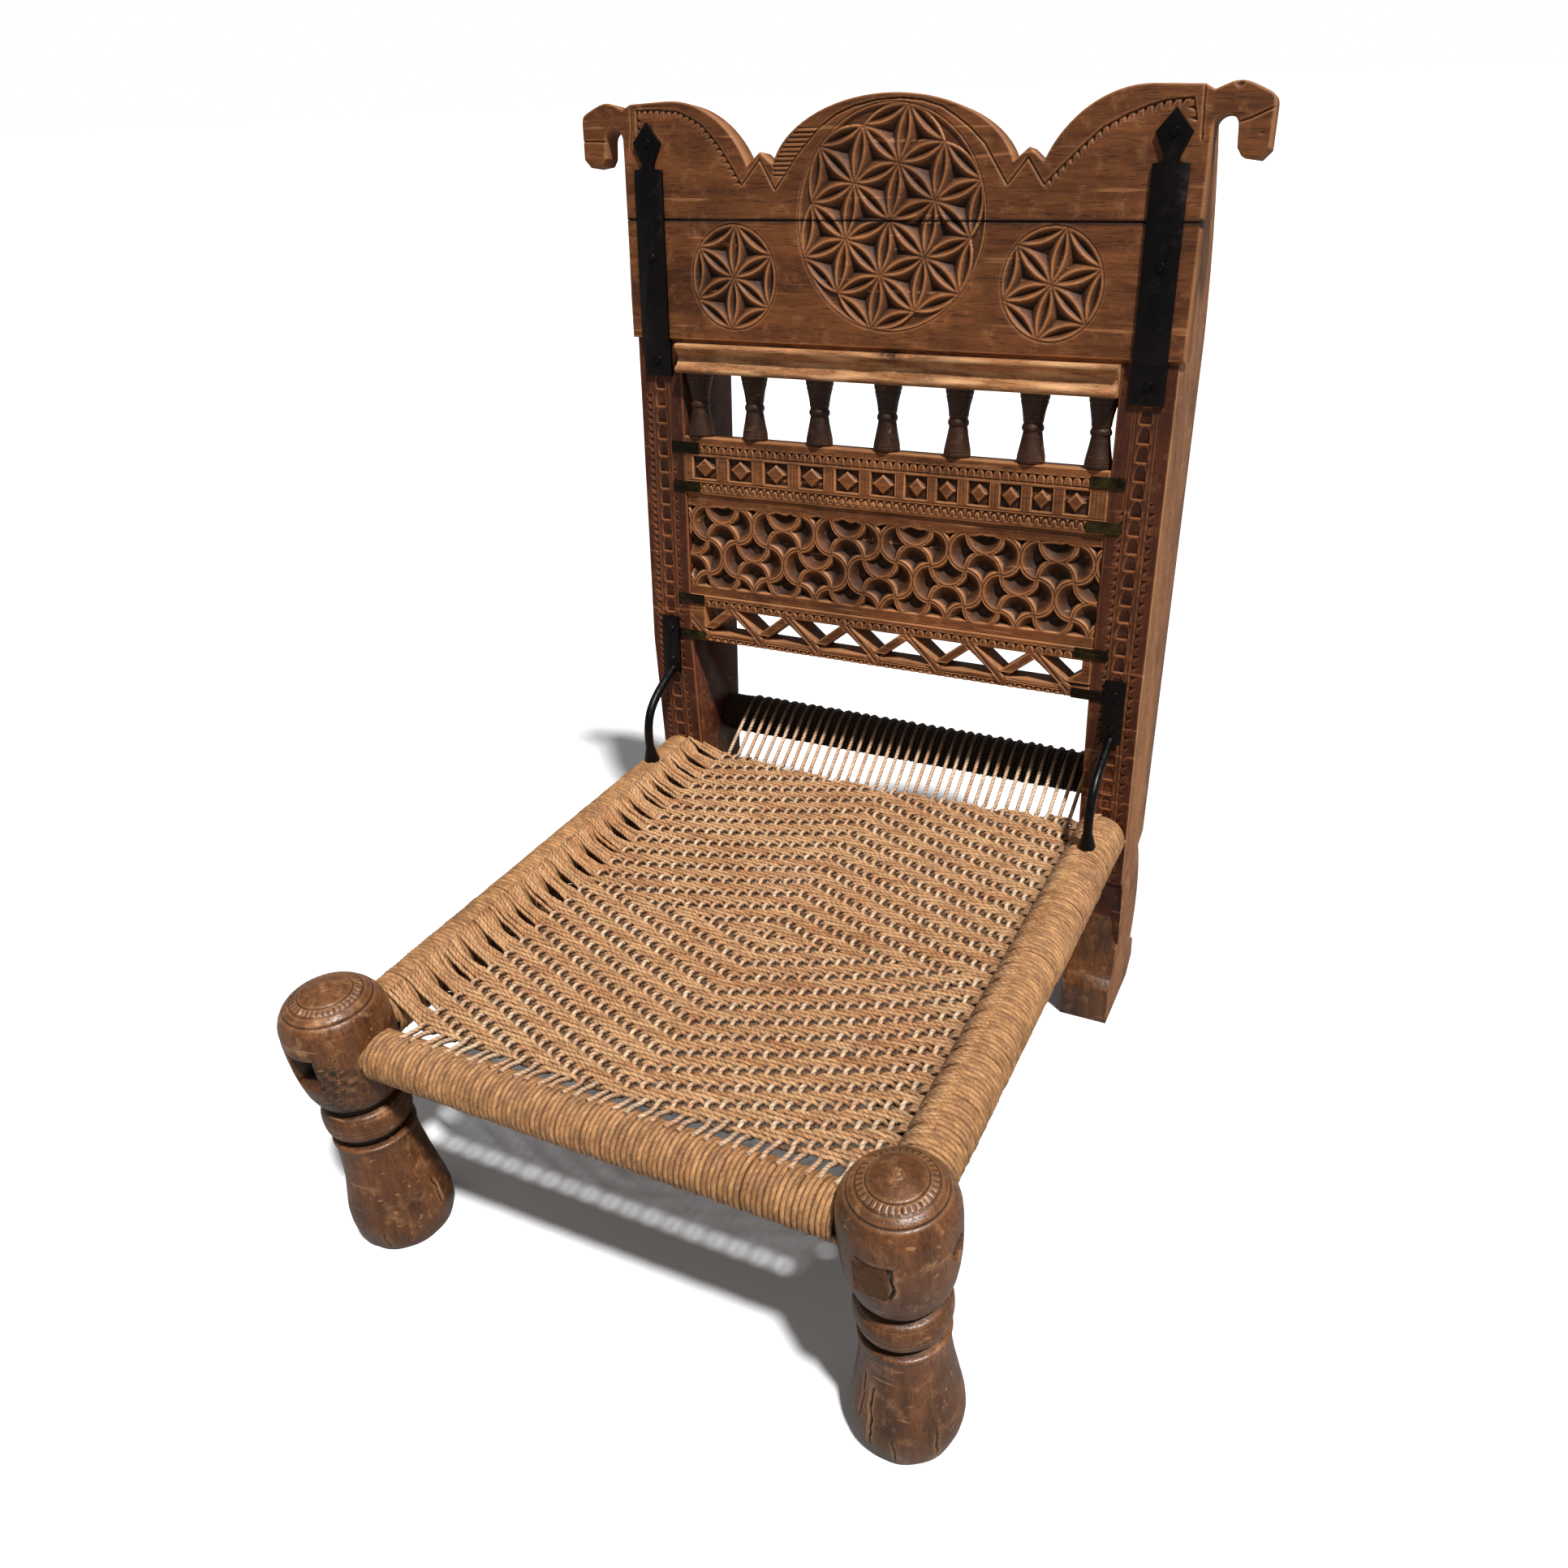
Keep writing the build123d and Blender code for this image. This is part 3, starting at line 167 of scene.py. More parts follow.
def turn_faces_out(piece, weld=False):
    """Point all faces of a piece outwards, once the points that meet are welded."""
    pick(piece)
    bpy.ops.object.mode_set(mode="EDIT")
    bpy.ops.mesh.select_all(action="SELECT")
    if weld:
        bpy.ops.mesh.remove_doubles(threshold=WELD)
    bpy.ops.mesh.normals_make_consistent(inside=False)
    bpy.ops.object.mode_set(mode="OBJECT")


def smooth(piece, sharp_angle):
    """Shade a piece smooth except at edges that are sharper than an angle in degrees."""
    pick(piece)
    bpy.ops.object.shade_smooth_by_angle(angle=math.radians(sharp_angle))


def finish_with(piece, finish, *others):
    """Give a piece its finishes, of which all faces take the first."""
    piece.data.materials.clear()
    for name in (finish, *others):
        piece.data.materials.append(bpy.data.materials[name])


def finish_slots(node, finish):
    """Give a CAD node, shown as it is, a finish."""
    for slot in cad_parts[node].material_slots:
        slot.material = bpy.data.materials[finish]


def stand_for(piece, slot, *nodes):
    """The piece rides on the chair and replaces the named CAD nodes; slot is not used."""
    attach(piece, "root")
    if nodes:
        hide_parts(*nodes)


def ripple(x, y, seed=0.0):
    """Smooth uneven values between -1 and 1, the same on every run."""
    total = np.zeros(np.broadcast(x, y).shape)
    for k in range(1, 5):
        a = seed * 1.7 + k * 2.399
        total += np.sin(x * math.cos(a) * k**0.5 + y * math.sin(a) * k**0.5 + a * a) / 4
    return total


def merged_copy(node):
    """A CAD node's mesh with its loose triangles joined, as a bmesh in world metres."""
    copy = bmesh.new()
    copy.from_mesh(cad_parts[node].data)
    bmesh.ops.remove_doubles(copy, verts=copy.verts, dist=2e-6)
    return copy


def node_copy(node, name, flatness=4.0):
    """An editable copy of a CAD node; faces within flatness degrees are one again."""
    copy = merged_copy(node)
    bmesh.ops.dissolve_limit(
        copy, angle_limit=math.radians(flatness), verts=copy.verts, edges=copy.edges,
        delimit={"NORMAL"},
    )
    data = bpy.data.meshes.new(name)
    copy.to_mesh(data)
    copy.free()
    piece = bpy.data.objects.new(name, data)
    bpy.context.collection.objects.link(piece)
    return piece


def everywhere(place):
    """Allows bevel_sharp to round all the sharp edges of a piece."""
    return True


def bevel_sharp(piece, width, allowed=everywhere, sharpness=35.0):
    """Round the sharp edges of a piece whose ends, in millimetres, the test allows."""
    pick(piece)
    bpy.ops.object.mode_set(mode="EDIT")
    bpy.ops.mesh.select_mode(type="EDGE")
    bpy.ops.mesh.select_all(action="DESELECT")
    bpy.ops.mesh.edges_select_sharp(sharpness=math.radians(sharpness))
    edit = bmesh.from_edit_mesh(piece.data)
    for edge in edit.edges:
        if edge.select and not all(allowed(vert.co / MM) for vert in edge.verts):
            edge.select = False
    bmesh.update_edit_mesh(piece.data)
    bpy.ops.mesh.bevel(offset=width * MM, segments=2, affect="EDGES", clamp_overlap=True)
    bpy.ops.object.mode_set(mode="OBJECT")


# ---- strands of twine ----------------------------------------------------------------------
def strand_mesh(name, paths, radius, sides=6, up=(0.0, 0.0, 1.0), shade_seed=1, low=None):
    """One mesh of closed tubes that follow the paths (strands x points x 3, millimetres).

    The UV map runs along each strand in millimetres and once round it, the attribute
    "strand" gives every strand its own tone, and "low" is painted shade where it lies under others
    or in shadow."""
    paths = np.asarray(paths, dtype=float)
    count, length, _ = paths.shape
    ahead = np.gradient(paths, axis=1)
    ahead /= np.linalg.norm(ahead, axis=2, keepdims=True)
    up = np.broadcast_to(np.asarray(up, dtype=float), paths.shape)
    across = np.cross(ahead, up)
    across /= np.linalg.norm(across, axis=2, keepdims=True)
    over = np.cross(across, ahead)
    turn = np.arange(sides) * 2 * math.pi / sides
    ring = across[:, :, None] * np.cos(turn)[:, None] + over[:, :, None] * np.sin(turn)[:, None]
    points = (paths[:, :, None] + ring * radius).reshape(-1, 3) * MM
    step = np.linalg.norm(np.diff(paths, axis=1), axis=2)
    run = np.concatenate([np.zeros((count, 1)), np.cumsum(step, axis=1)], axis=1)

    s, p, k = np.meshgrid(np.arange(count), np.arange(length - 1), np.arange(sides), indexing="ij")
    base = (s * length + p) * sides
    after = (k + 1) % sides
    quads = np.stack([base + k, base + sides + k, base + sides + after, base + after], axis=-1)
    quads = quads.reshape(-1, 4)
    low_u, high_u = run[s, p], run[s, p + 1]
    along = np.stack([low_u, high_u, high_u, low_u], axis=-1)
    round_it = np.stack([k, k, k + 1, k + 1], axis=-1) / sides
    uv = np.stack([along, round_it], axis=-1).reshape(-1, 2)
    starts = np.arange(count) * length * sides
    heads = starts[:, None] + np.arange(sides)
    tails = starts[:, None] + (length - 1) * sides + np.arange(sides)[::-1]
    caps = np.concatenate([heads, tails])
    cap_uv = np.zeros((caps.size, 2))

    data = bpy.data.meshes.new(name)
    data.vertices.add(len(points))
    data.vertices.foreach_set("co", points.ravel())
    data.loops.add(quads.size + caps.size)
    data.loops.foreach_set("vertex_index", np.concatenate([quads.ravel(), caps.ravel()]))
    data.polygons.add(len(quads) + len(caps))
    loop_start = np.concatenate(
        [np.arange(len(quads)) * 4, quads.size + np.arange(len(caps)) * sides]
    )
    data.polygons.foreach_set("loop_start", loop_start)
    data.update(calc_edges=True)
    data.validate()
    layer = data.uv_layers.new(name="Along")
    layer.data.foreach_set("uv", np.concatenate([uv, cap_uv]).ravel())
    piece = bpy.data.objects.new(name, data)
    bpy.context.collection.objects.link(piece)
    shade = np.random.default_rng(shade_seed).random(count)
    write_mask(piece, "strand", np.repeat(shade, length * sides))
    if low is not None:
        write_mask(piece, "low", np.repeat(np.ravel(low), sides))
    turn_faces_out(piece)
    bpy.ops.object.shade_smooth()
    return piece


# ---- carving: relief of a flat face as a height over x and v -------------------------------
FAR = 1e9
FACES_BACK = 0.999  # cosine of the most that a board's back face may be turned
SAME_LEVEL = 0.0002  # faces within this depth, in metres, are one back


def spaced(low, high, fine_from, fine_to, fine, coarse):
    """Grid lines from low to high, closer together between fine_from and fine_to."""
    lines = [low]
    while lines[-1] < high:
        near = fine_from - coarse < lines[-1] < fine_to
        lines.append(lines[-1] + (fine if near else coarse))
    lines = np.array(lines)
    return low + (lines - low) * (high - low) / (lines[-1] - low)


def board_loops(node, smallest=8.0):
    """Outlines (x, v) of the back face of a flat CAD board, without its nail holes."""
    copy = merged_copy(node)
    behind = Vector((0, math.cos(LEAN), -math.sin(LEAN)))
    flat = [face for face in copy.faces if face.normal.dot(behind) > FACES_BACK]
    depths = [face.calc_center_median().dot(behind) for face in flat]
    deepest = max(depths)
    flat = {face for face, depth in zip(flat, depths) if depth > deepest - SAME_LEVEL}
    rims = {}
    for face in flat:
        for loop in face.loops:
            if sum(other in flat for other in loop.edge.link_faces) == 1:
                rims[loop.vert] = loop.link_loop_next.vert
    loops = []
    while rims:
        start, here = next(iter(rims.items()))
        chain = [start]
        del rims[start]
        while here != start:
            chain.append(here)
            here = rims.pop(here)
        points = seen_on_back([vert.co for vert in chain])[:, :2]
        if np.ptp(points, axis=0).max() > smallest:
            loops.append(points)
    copy.free()
    return sorted(loops, key=lambda points: -np.ptp(points, axis=0).max())


def is_inside(loops, x, v):
    """Which places lie inside the outlines and outside their holes."""
    inside = np.zeros(x.shape, bool)
    for loop in loops:
        for (xa, va), (xb, vb) in zip(loop, np.roll(loop, -1, axis=0)):
            if va != vb:
                at = xa + (v - va) * (xb - xa) / (vb - va)
                inside ^= ((va > v) != (vb > v)) & (x < at)
    return inside


def along_line(x, v, points, closed=False):
    """Nearest place on a polyline: run along it, distance to its right, and the place."""
    points = np.asarray(points, dtype=float)
    ends = np.roll(points, -1, axis=0) if closed else points[1:]
    best = np.full(x.shape, FAR)
    run, side, near_x, near_v = (np.zeros(x.shape) for _ in range(4))
    covered = 0.0
    for (xa, va), (xb, vb) in zip(points, ends):
        dx, dv = xb - xa, vb - va
        length = math.hypot(dx, dv)
        if length < 1e-6:
            continue
        part = np.clip(((x - xa) * dx + (v - va) * dv) / length**2, 0, 1)
        px, pv = xa + part * dx, va + part * dv
        away = np.hypot(x - px, v - pv)
        closer = away < best
        best = np.where(closer, away, best)
        run = np.where(closer, covered + part * length, run)
        sign = np.sign((x - xa) * dv - (v - va) * dx)
        side = np.where(closer, away * sign, side)
        near_x, near_v = np.where(closer, px, near_x), np.where(closer, pv, near_v)
        covered += length
    return run, side, near_x, near_v


def repeated(x, pitch):
    """Distance from each place to the nearest of the marks that stand one pitch apart."""
    return (x / pitch - np.round(x / pitch)) * pitch


def patch(x, v, middle_x, middle_v, half_x, half_v):
    """1 in the middle of an oval patch, falling to 0 at its edge."""
    return np.clip(1 - np.hypot((x - middle_x) / half_x, (v - middle_v) / half_v), 0, 1)


def groove(away, width, depth):
    """V-shaped groove, from the distance to its middle."""
    return -depth * np.clip(1 - np.abs(away) / (width / 2), 0, 1)


def chips(run, inward, pitch, length, width, depth, shift=0.0, lean=0.0):
    """A row of three-sided chips that point inward from a line, one at each pitch."""
    off = repeated(run + shift + lean * inward, pitch)
    room = width / 2 * np.clip(1 - inward / length, 0, 1) - np.abs(off)
    cut = np.where(inward > 0, np.clip(room, 0, None) / (width / 2), 0)
    return -depth * cut**0.8


def scallops(x, up, pitch, height, depth, shift=0.0):
    """A row of little round-ended teeth; up runs from 0 at their open end to height."""
    rounded = np.clip(up / height, 0, 1)
    half = pitch * 0.40 * np.sqrt(np.clip(1 - (1 - rounded) ** 2.2, 0, 1))
    cut = np.clip((np.abs(repeated(x + shift, pitch)) - half) / (pitch * 0.13), 0, 1)
    return np.where((up > 0) & (up < height), -depth * cut, 0)


def arcs(x, up, pitch, wide, tall, steep):
    """A row of cut half rings that stand on the line up = 0, one at each pitch."""
    ring = np.hypot(repeated(x, pitch) / wide, up / tall)
    return -1.7 * np.clip(1.15 - np.abs(ring - 1) * steep, 0, 1)


PETAL_LIP, PETAL_SLOPE = 1.75, 0.95  # flat lip of a petal, then the fall of its hollow
PETAL_LINE = (0.65, 0.75)  # width and depth of the line cut round a petal
PIT_LIP, PIT_SLOPE = 0.5, 0.82  # depth of a pit at its edge, then the fall of its walls
CHIP_WIDTH, CHIP_SLOPE = 3.0, 0.7  # of the chips between the petals at the rim
PETAL_NEIGHBOURS = (  # steps on the net: to a petal's far end, then to its two circles' middles
    ((1, 0), (0, 1), (1, -1)),
    ((0, 1), (1, 0), (-1, 1)),
    ((-1, 1), (0, 1), (-1, 0)),
)
PIT_NEIGHBOURS = (((1, 0), (0, 1)), ((-1, 0), (0, -1)))  # steps to a pit's other two corners


def flower(x, v, middle_x, middle_v, turn, rings):
    """Compass rosette: pointed petals between the points of a triangular net of circles."""
    angle = math.radians(turn)
    across = np.array([math.cos(angle), math.sin(angle)]) * PETAL
    rising = np.array([math.cos(angle + math.pi / 3), math.sin(angle + math.pi / 3)]) * PETAL
    reach = PETAL * rings
    near = np.hypot(x - middle_x, v - middle_v) < reach + 4
    px, pv = x[near] - middle_x, v[near] - middle_v
    steps = range(-rings - 1, rings + 2)
    net = {(i, j): across * i + rising * j for i in steps for j in steps}
    away = {key: np.hypot(px - at[0], pv - at[1]) for key, at in net.items()}

    def within(key):
        return max(abs(key[0]), abs(key[1]), abs(key[0] + key[1])) <= rings

    depth = np.zeros(px.shape)
    petals = np.zeros(px.shape, bool)
    for i, j in net:
        for (a, b), (c, d), (e, f) in PETAL_NEIGHBOURS:
            ends = (i, j), (i + a, j + b)
            circles = (i + c, j + d), (i + e, j + f)
            if not all(within(key) for key in ends) or not all(key in net for key in circles):
                continue
            edge = PETAL - np.maximum(away[circles[0]], away[circles[1]])
            inside = edge > 0
            petals |= inside
            hollow = np.clip(edge - PETAL_LIP, 0, None) * PETAL_SLOPE
            line = PETAL_LINE[1] * np.clip(1 - edge / PETAL_LINE[0], 0, 1)
            depth = np.where(inside, hollow + line, depth)
    # three-sided pits between the petals, deepest in the middle
    for i, j in net:
        for (a, b), (c, d) in PIT_NEIGHBOURS:
            corners = (i, j), (i + a, j + b), (i + c, j + d)
            circles = (i + a + c, j + b + d), (i + c - a, j + d - b), (i + a - c, j + b - d)
            if not all(within(key) for key in corners) or not all(key in net for key in circles):
                continue
            edge = np.minimum.reduce([away[key] for key in circles]) - PETAL
            farthest = np.maximum.reduce([away[key] for key in corners])
            pit = (edge > 0) & (farthest < PETAL * 0.95)
            depth = np.where(pit, PIT_LIP + np.clip(edge, 0, None) * PIT_SLOPE, depth)
    # chips at the rim, and the ring round it all
    rim = reach - 1.0 - away[0, 0]
    chipped = (rim > 0) & ~petals & (depth == 0)
    depth = np.where(chipped, np.clip(rim, 0, CHIP_WIDTH) * CHIP_SLOPE, depth)
    ring = groove(away[0, 0] - reach - 0.4, width=1.6, depth=0.9)
    height = np.zeros(x.shape)
    height[near] = np.minimum(-depth, ring)
    return height


def blurred(height, times):
    """Height smoothed over its neighbours, for telling pits from ridges."""
    soft = height.copy()
    for _ in range(times):
        soft[1:-1] = (soft[:-2] + 2 * soft[1:-1] + soft[2:]) / 4
        soft[:, 1:-1] = (soft[:, :-2] + 2 * soft[:, 1:-1] + soft[:, 2:]) / 4
    return soft


def level(w):
    """The flat front of a board, which stands w out from the face of the stiles."""
    return lambda x, v: w + 0.0 * x


def cut_to(share, relief):
    """The relief with its cuts made a share of their full depth."""
    return lambda x, v: share * relief(x, v)


def to_outlines(loops, x, v, chosen):
    """Distance of the chosen grid points to the outlines, and their nearest places there."""
    edge = np.full(x.shape, FAR)
    rim_x, rim_v = x.copy(), v.copy()
    for loop in loops:
        _, side, near_x, near_v = along_line(x[chosen], v[chosen], loop, closed=True)
        nearer = np.abs(side) < edge[chosen]
        edge[chosen] = np.where(nearer, np.abs(side), edge[chosen])
        rim_x[chosen] = np.where(nearer, near_x, rim_x[chosen])
        rim_v[chosen] = np.where(nearer, near_v, rim_v[chosen])
    return edge, rim_x, rim_v


SEAM_SHADOW = 3.5  # how far from a closed edge the painted shade reaches
PALE_EDGE = 2.2  # how far from an open edge the wood is paler: rubbed wood with a painted highlight
DEEP_CUT = 4.0  # cuts of this depth get painted shade all over


def carved_plate(name, loops, columns, rows, relief, front, thickness, arris=1.3, shut=()):
    """A board whose front is a fine grid cut to its outlines and sunk by its relief.

    arris is the rounding of its edges. shut lists the heights v where an edge closes on
    another board and gets painted shade."""
    deselect()
    cells_x, cells_v = len(columns) - 1, len(rows) - 1
    bpy.ops.mesh.primitive_grid_add(x_subdivisions=cells_x, y_subdivisions=cells_v, size=2)
    piece = bpy.context.object
    x, v = np.meshgrid(columns, rows)
    height = relief(x, v)
    soft = blurred(height, 4)
    kept = is_inside(loops, (x[:-1, :-1] + x[1:, 1:]) / 2, (v[:-1, :-1] + v[1:, 1:]) / 2)
    padded = np.pad(kept, 1)
    cells = [padded[a : a + x.shape[0], b : b + x.shape[1]] for a in (0, 1) for b in (0, 1)]
    touched = np.logical_or.reduce(cells)
    rim = touched & ~np.logical_and.reduce(cells)
    edge, rim_x, rim_v = to_outlines(loops, x, v, touched)
    x, v = np.where(rim, rim_x, x), np.where(rim, rim_v, v)
    edge[rim] = 0.0
    rounding = arris * (1 + 0.45 * ripple(x / 23, v / 23, 3.0))
    lost = np.clip(rounding - edge, 0, None)
    height = height - (rounding - np.sqrt(np.clip(rounding**2 - lost**2, 0, None)))
    put(piece, on_back(x, v, front(x, v) + height).reshape(-1, 3))

    closed = np.zeros(x.shape)
    for seam in shut:
        closed = np.maximum(closed, np.clip(1 - np.abs(v - seam) / SEAM_SHADOW, 0, 1))
    # ridges and open edges lighter: rubbed wood with a painted highlight
    wear_and_highlight = np.clip((height - soft) * 1.9 - 0.05, 0, 1)
    wear_and_highlight = wear_and_highlight + np.clip(1 - edge / PALE_EDGE, 0, 1) * 0.8 * (closed == 0)
    # painted shade: darker in the cuts, all over in deep ones, and along closed seams
    hollow = np.clip((soft - height) * 1.2, 0, 1) * 0.6
    hollow = hollow + np.clip(-height / DEEP_CUT, 0, 1) * 0.7 + closed
    write_mask(piece, "wear_and_highlight", np.clip(wear_and_highlight, 0, 1))
    write_mask(piece, "hollow", np.clip(hollow, 0, 1))

    bpy.context.tool_settings.mesh_select_mode = (False, False, True)
    bpy.ops.object.mode_set(mode="EDIT")
    bpy.ops.mesh.select_all(action="DESELECT")
    bpy.ops.object.mode_set(mode="OBJECT")
    piece.data.polygons.foreach_set("select", ~kept.ravel())
    bpy.ops.object.mode_set(mode="EDIT")
    bpy.ops.mesh.delete(type="FACE")
    bpy.ops.object.mode_set(mode="OBJECT")
    if len(loops) > 1:
        back_with_holes(piece, front, thickness)
    else:
        back_in_one(piece, front, thickness)
    turn_faces_out(piece)
    piece.name = piece.data.name = name
    smooth(piece, 48)
    return piece


def straight_behind(points, front, thickness):
    """Places on a board's flat back, straight behind places on its front."""
    x, v, _ = seen_on_back(points).T
    return on_back(x, v, front(x, v) - thickness)


def leave_plain(piece, behind):
    """Neither wear, painted highlight nor painted shade on the vertices at the back of a board."""
    for label in ("wear_and_highlight", "hollow"):
        values = read_mask(piece, label)
        values[behind] = 0.0
        write_mask(piece, label, values)


def back_with_holes(piece, front, thickness):
    """Close a pierced sheet with the same sheet moved straight back and flattened."""
    bpy.ops.object.modifier_add(type="SOLIDIFY")
    piece.modifiers[-1].thickness = thickness * MM
    piece.modifiers[-1].offset = -1.0
    bpy.ops.object.modifier_apply(modifier=piece.modifiers[-1].name)
    points = places(piece)
    half = len(points) // 2
    points[half:] = straight_behind(points[:half], front, thickness)
    put(piece, points)
    leave_plain(piece, slice(half, None))


def back_in_one(piece, front, thickness):
    """Draw the rim of a sheet straight back and close it with one flat face."""
    bpy.ops.object.mode_set(mode="EDIT")
    bpy.ops.mesh.select_mode(type="EDGE")
    bpy.ops.mesh.select_all(action="DESELECT")
    bpy.ops.mesh.select_non_manifold()
    bpy.ops.mesh.extrude_region_move(TRANSFORM_OT_translate={"value": (0, MM, 0)})
    bpy.ops.object.mode_set(mode="OBJECT")
    chosen = np.empty(len(piece.data.vertices), bool)
    piece.data.vertices.foreach_get("select", chosen)
    points = places(piece)
    behind = straight_behind(points - np.array([0, MM, 0]), front, thickness)
    put(piece, np.where(chosen[:, None], behind, points))
    leave_plain(piece, chosen)
    bpy.ops.object.mode_set(mode="EDIT")
    bpy.ops.mesh.fill(use_beauty=False)
    bpy.ops.mesh.select_all(action="SELECT")
    bpy.ops.mesh.remove_doubles(threshold=WELD)
    bpy.ops.object.mode_set(mode="OBJECT")


# ---- relief of each carved board -----------------------------------------------------------
CREST_BORDERS = (  # a line, the pitch of the notches along it and where they start
    (
        ((-258, 842), (-258, 861), (-235, 861), (-213, 859), (-200, 854), (-188, 848),
         (-172, 833), (-158, 815), (-147, 799)),
        6.7, 2.0,
    ),
    (
        ((142, 798), (155, 810), (172, 825), (188, 838), (205, 846), (222, 852), (238, 856),
         (258, 857), (262, 842)),
        7.5, 1.0,
    ),
)
CREST_ARCH = (
    (-112, 795), (-101, 808), (-90, 822), (-69, 842), (-51, 853), (-34, 859), (-12, 863),
    (10, 864), (30, 862), (48, 857), (62, 849), (74, 841), (88, 829), (100, 812), (110, 798),
)
CREST_ZIGZAGS = (
    ((-147, 799), (-127.5, 819.5), (-112, 795)),
    ((110, 798), (127, 818), (142, 798)),
)
HORSE_NECKS = (
    ((-264.5, 866), (-264, 846), (-267, 828)),
    ((266, 866), (267, 846), (268, 828)),
)
HORSE_BRIDLES = (
    ((-322, 837), (-300, 836.5), (-286, 835)),
    ((288, 838), (303, 842), (322, 850)),
)


def crest_relief(x, v):
    """Border lines, notched arches, the flank hatching, bridles and half of the rosette."""
    height = flower(x, v, *MAIN_ROSETTE, rings=2)
    for line, pitch, shift in CREST_BORDERS:
        run, side, _, _ = along_line(x, v, line)
        length = sum(math.dist(a, b) for a, b in zip(line, line[1:]))
        beside = (run > 0.1) & (run < length - 0.1)
        notch = chips(run, side, pitch, length=7.2, width=5.8, depth=2.6, shift=shift, lean=0.35)
        height = np.minimum(height, np.where(beside, notch, 0))
        height = np.minimum(height, groove(side, width=2.4, depth=1.5))
        fall = -0.7 * np.clip(1 - side / 9.0, 0, 1)
        height = np.where((side > 0) & beside, np.minimum(height, fall), height)
    for line in CREST_ZIGZAGS:
        height = np.minimum(height, groove(along_line(x, v, line)[1], width=2.3, depth=1.6))
    # the arch line, and the hatching between it and the edge on the left flank
    side = along_line(x, v, CREST_ARCH)[1]
    height = np.minimum(height, groove(side, width=2.3, depth=1.6))
    flank = (x > -114) & (x < -62) & (v > 805) & (v < 846) & (side < -0.6) & (side > -15)
    hatch = groove(repeated(v, 3.7), width=2.1, depth=1.4)
    height = np.minimum(height, np.where(flank, hatch, 0))
    for line in (*HORSE_NECKS, *HORSE_BRIDLES):
        height = np.minimum(height, groove(along_line(x, v, line)[1], width=2.0, depth=1.5))
    nostril = -0.9 * patch(x, v, 313, 832, 3.2, 1.3)
    poll = -3.0 * patch(x, v, 292, 866, 4.0, 3.5)
    height = np.minimum(height, np.minimum(nostril, poll))
    return height + 0.10 * ripple(x / 9, v / 4, 1.0)


def rosette_relief(x, v):
    """The lower half of the middle rosette and the two small ones."""
    height = flower(x, v, *MAIN_ROSETTE, rings=2)
    for rosette in SMALL_ROSETTES:
        height = np.minimum(height, flower(x, v, *rosette, rings=1))
    return height + 0.10 * ripple(x / 9, v / 4, 2.0)


DIAMOND_LOW, DIAMOND_HIGH, DIAMOND_DEPTH = 532.5, 554.5, 3.6  # of the sunk band
DIAMONDS = (  # x of the middle and half the width
    (-198.4, 13.0), (-157.0, 13.0), (-116.0, 13.0), (-76.0, 13.0), (-37.0, 13.0), (1.0, 13.0),
    (36.4, 10.5), (67.0, 10.5), (99.0, 10.5), (130.0, 10.5), (160.0, 10.5), (192.0, 10.5),
)
BEFORE_FIRST, AFTER_LAST = 20.5, 22.0  # from the end diamonds to the end dividers
DIVIDERS = (13.0, 14.0, 13.5, 13.0, 12.5, 12.0, 10.0, 9.2, 10.0, 9.5, 9.5, 10.5, 19.0)  # widths
RIB_PITCH = 3.6


def diamond_relief(x, v):
    """A sunk band of standing diamonds and ribbed dividers between rows of round teeth."""
    middle, half = (DIAMOND_LOW + DIAMOND_HIGH) / 2, (DIAMOND_HIGH - DIAMOND_LOW) / 2
    height = scallops(x, 565.5 - v, pitch=8.4, height=7.6, depth=2.2, shift=1.5)
    teeth = arcs(x + 1.0, v - 521.6, pitch=8.3, wide=3.4, tall=5.6, steep=3.2)
    height = np.minimum(height, np.where((v > 520.5) & (v < 528.0), teeth, 0))
    for line, width, depth in ((557.3, 2.0, 1.3), (530.2, 1.1, 0.8), (528.2, 1.6, 1.3)):
        height = np.minimum(height, groove(v - line, width, depth))
    wall = np.clip(np.minimum(v - DIAMOND_LOW, DIAMOND_HIGH - v) / 0.8, 0, 1)
    floor = -DIAMOND_DEPTH * wall
    for place, reach in DIAMONDS:
        size = 1 - np.abs(x - place) / reach - np.abs(v - middle) / (half + 0.2)
        top = np.clip(size * reach * 0.9, 0, DIAMOND_DEPTH) - DIAMOND_DEPTH
        floor = np.where(size > 0, np.maximum(floor, top), floor)
    centres = np.array([place for place, _ in DIAMONDS])
    gaps = (centres[:-1] + centres[1:]) / 2
    stands = (centres[0] - BEFORE_FIRST, *gaps, centres[-1] + AFTER_LAST)
    for place, width in zip(stands, DIVIDERS):
        away = np.abs(x - place)
        top = np.clip((width / 2 - away) * 3.0, -DIAMOND_DEPTH, 0)
        ribs = groove(repeated(x - place, RIB_PITCH), width=0.9, depth=0.7)
        standing = away < width / 2 + 1.2
        floor = np.where(standing, np.maximum(floor, top + np.where(top > -0.2, ribs, 0)), floor)
    band = (v > DIAMOND_LOW) & (v < DIAMOND_HIGH)
    height = np.where(band, np.minimum(height, floor), height)
    return height + 0.08 * ripple(x / 9, v / 4, 4.0)


LATTICE_START, LATTICE_HALF = -205.0, 33.65  # foot of the first bar, half a triangle's base
LATTICE_LOW, LATTICE_HIGH = 372.5, 398.5
LATTICE_BARS = 13  # every second one is ridged


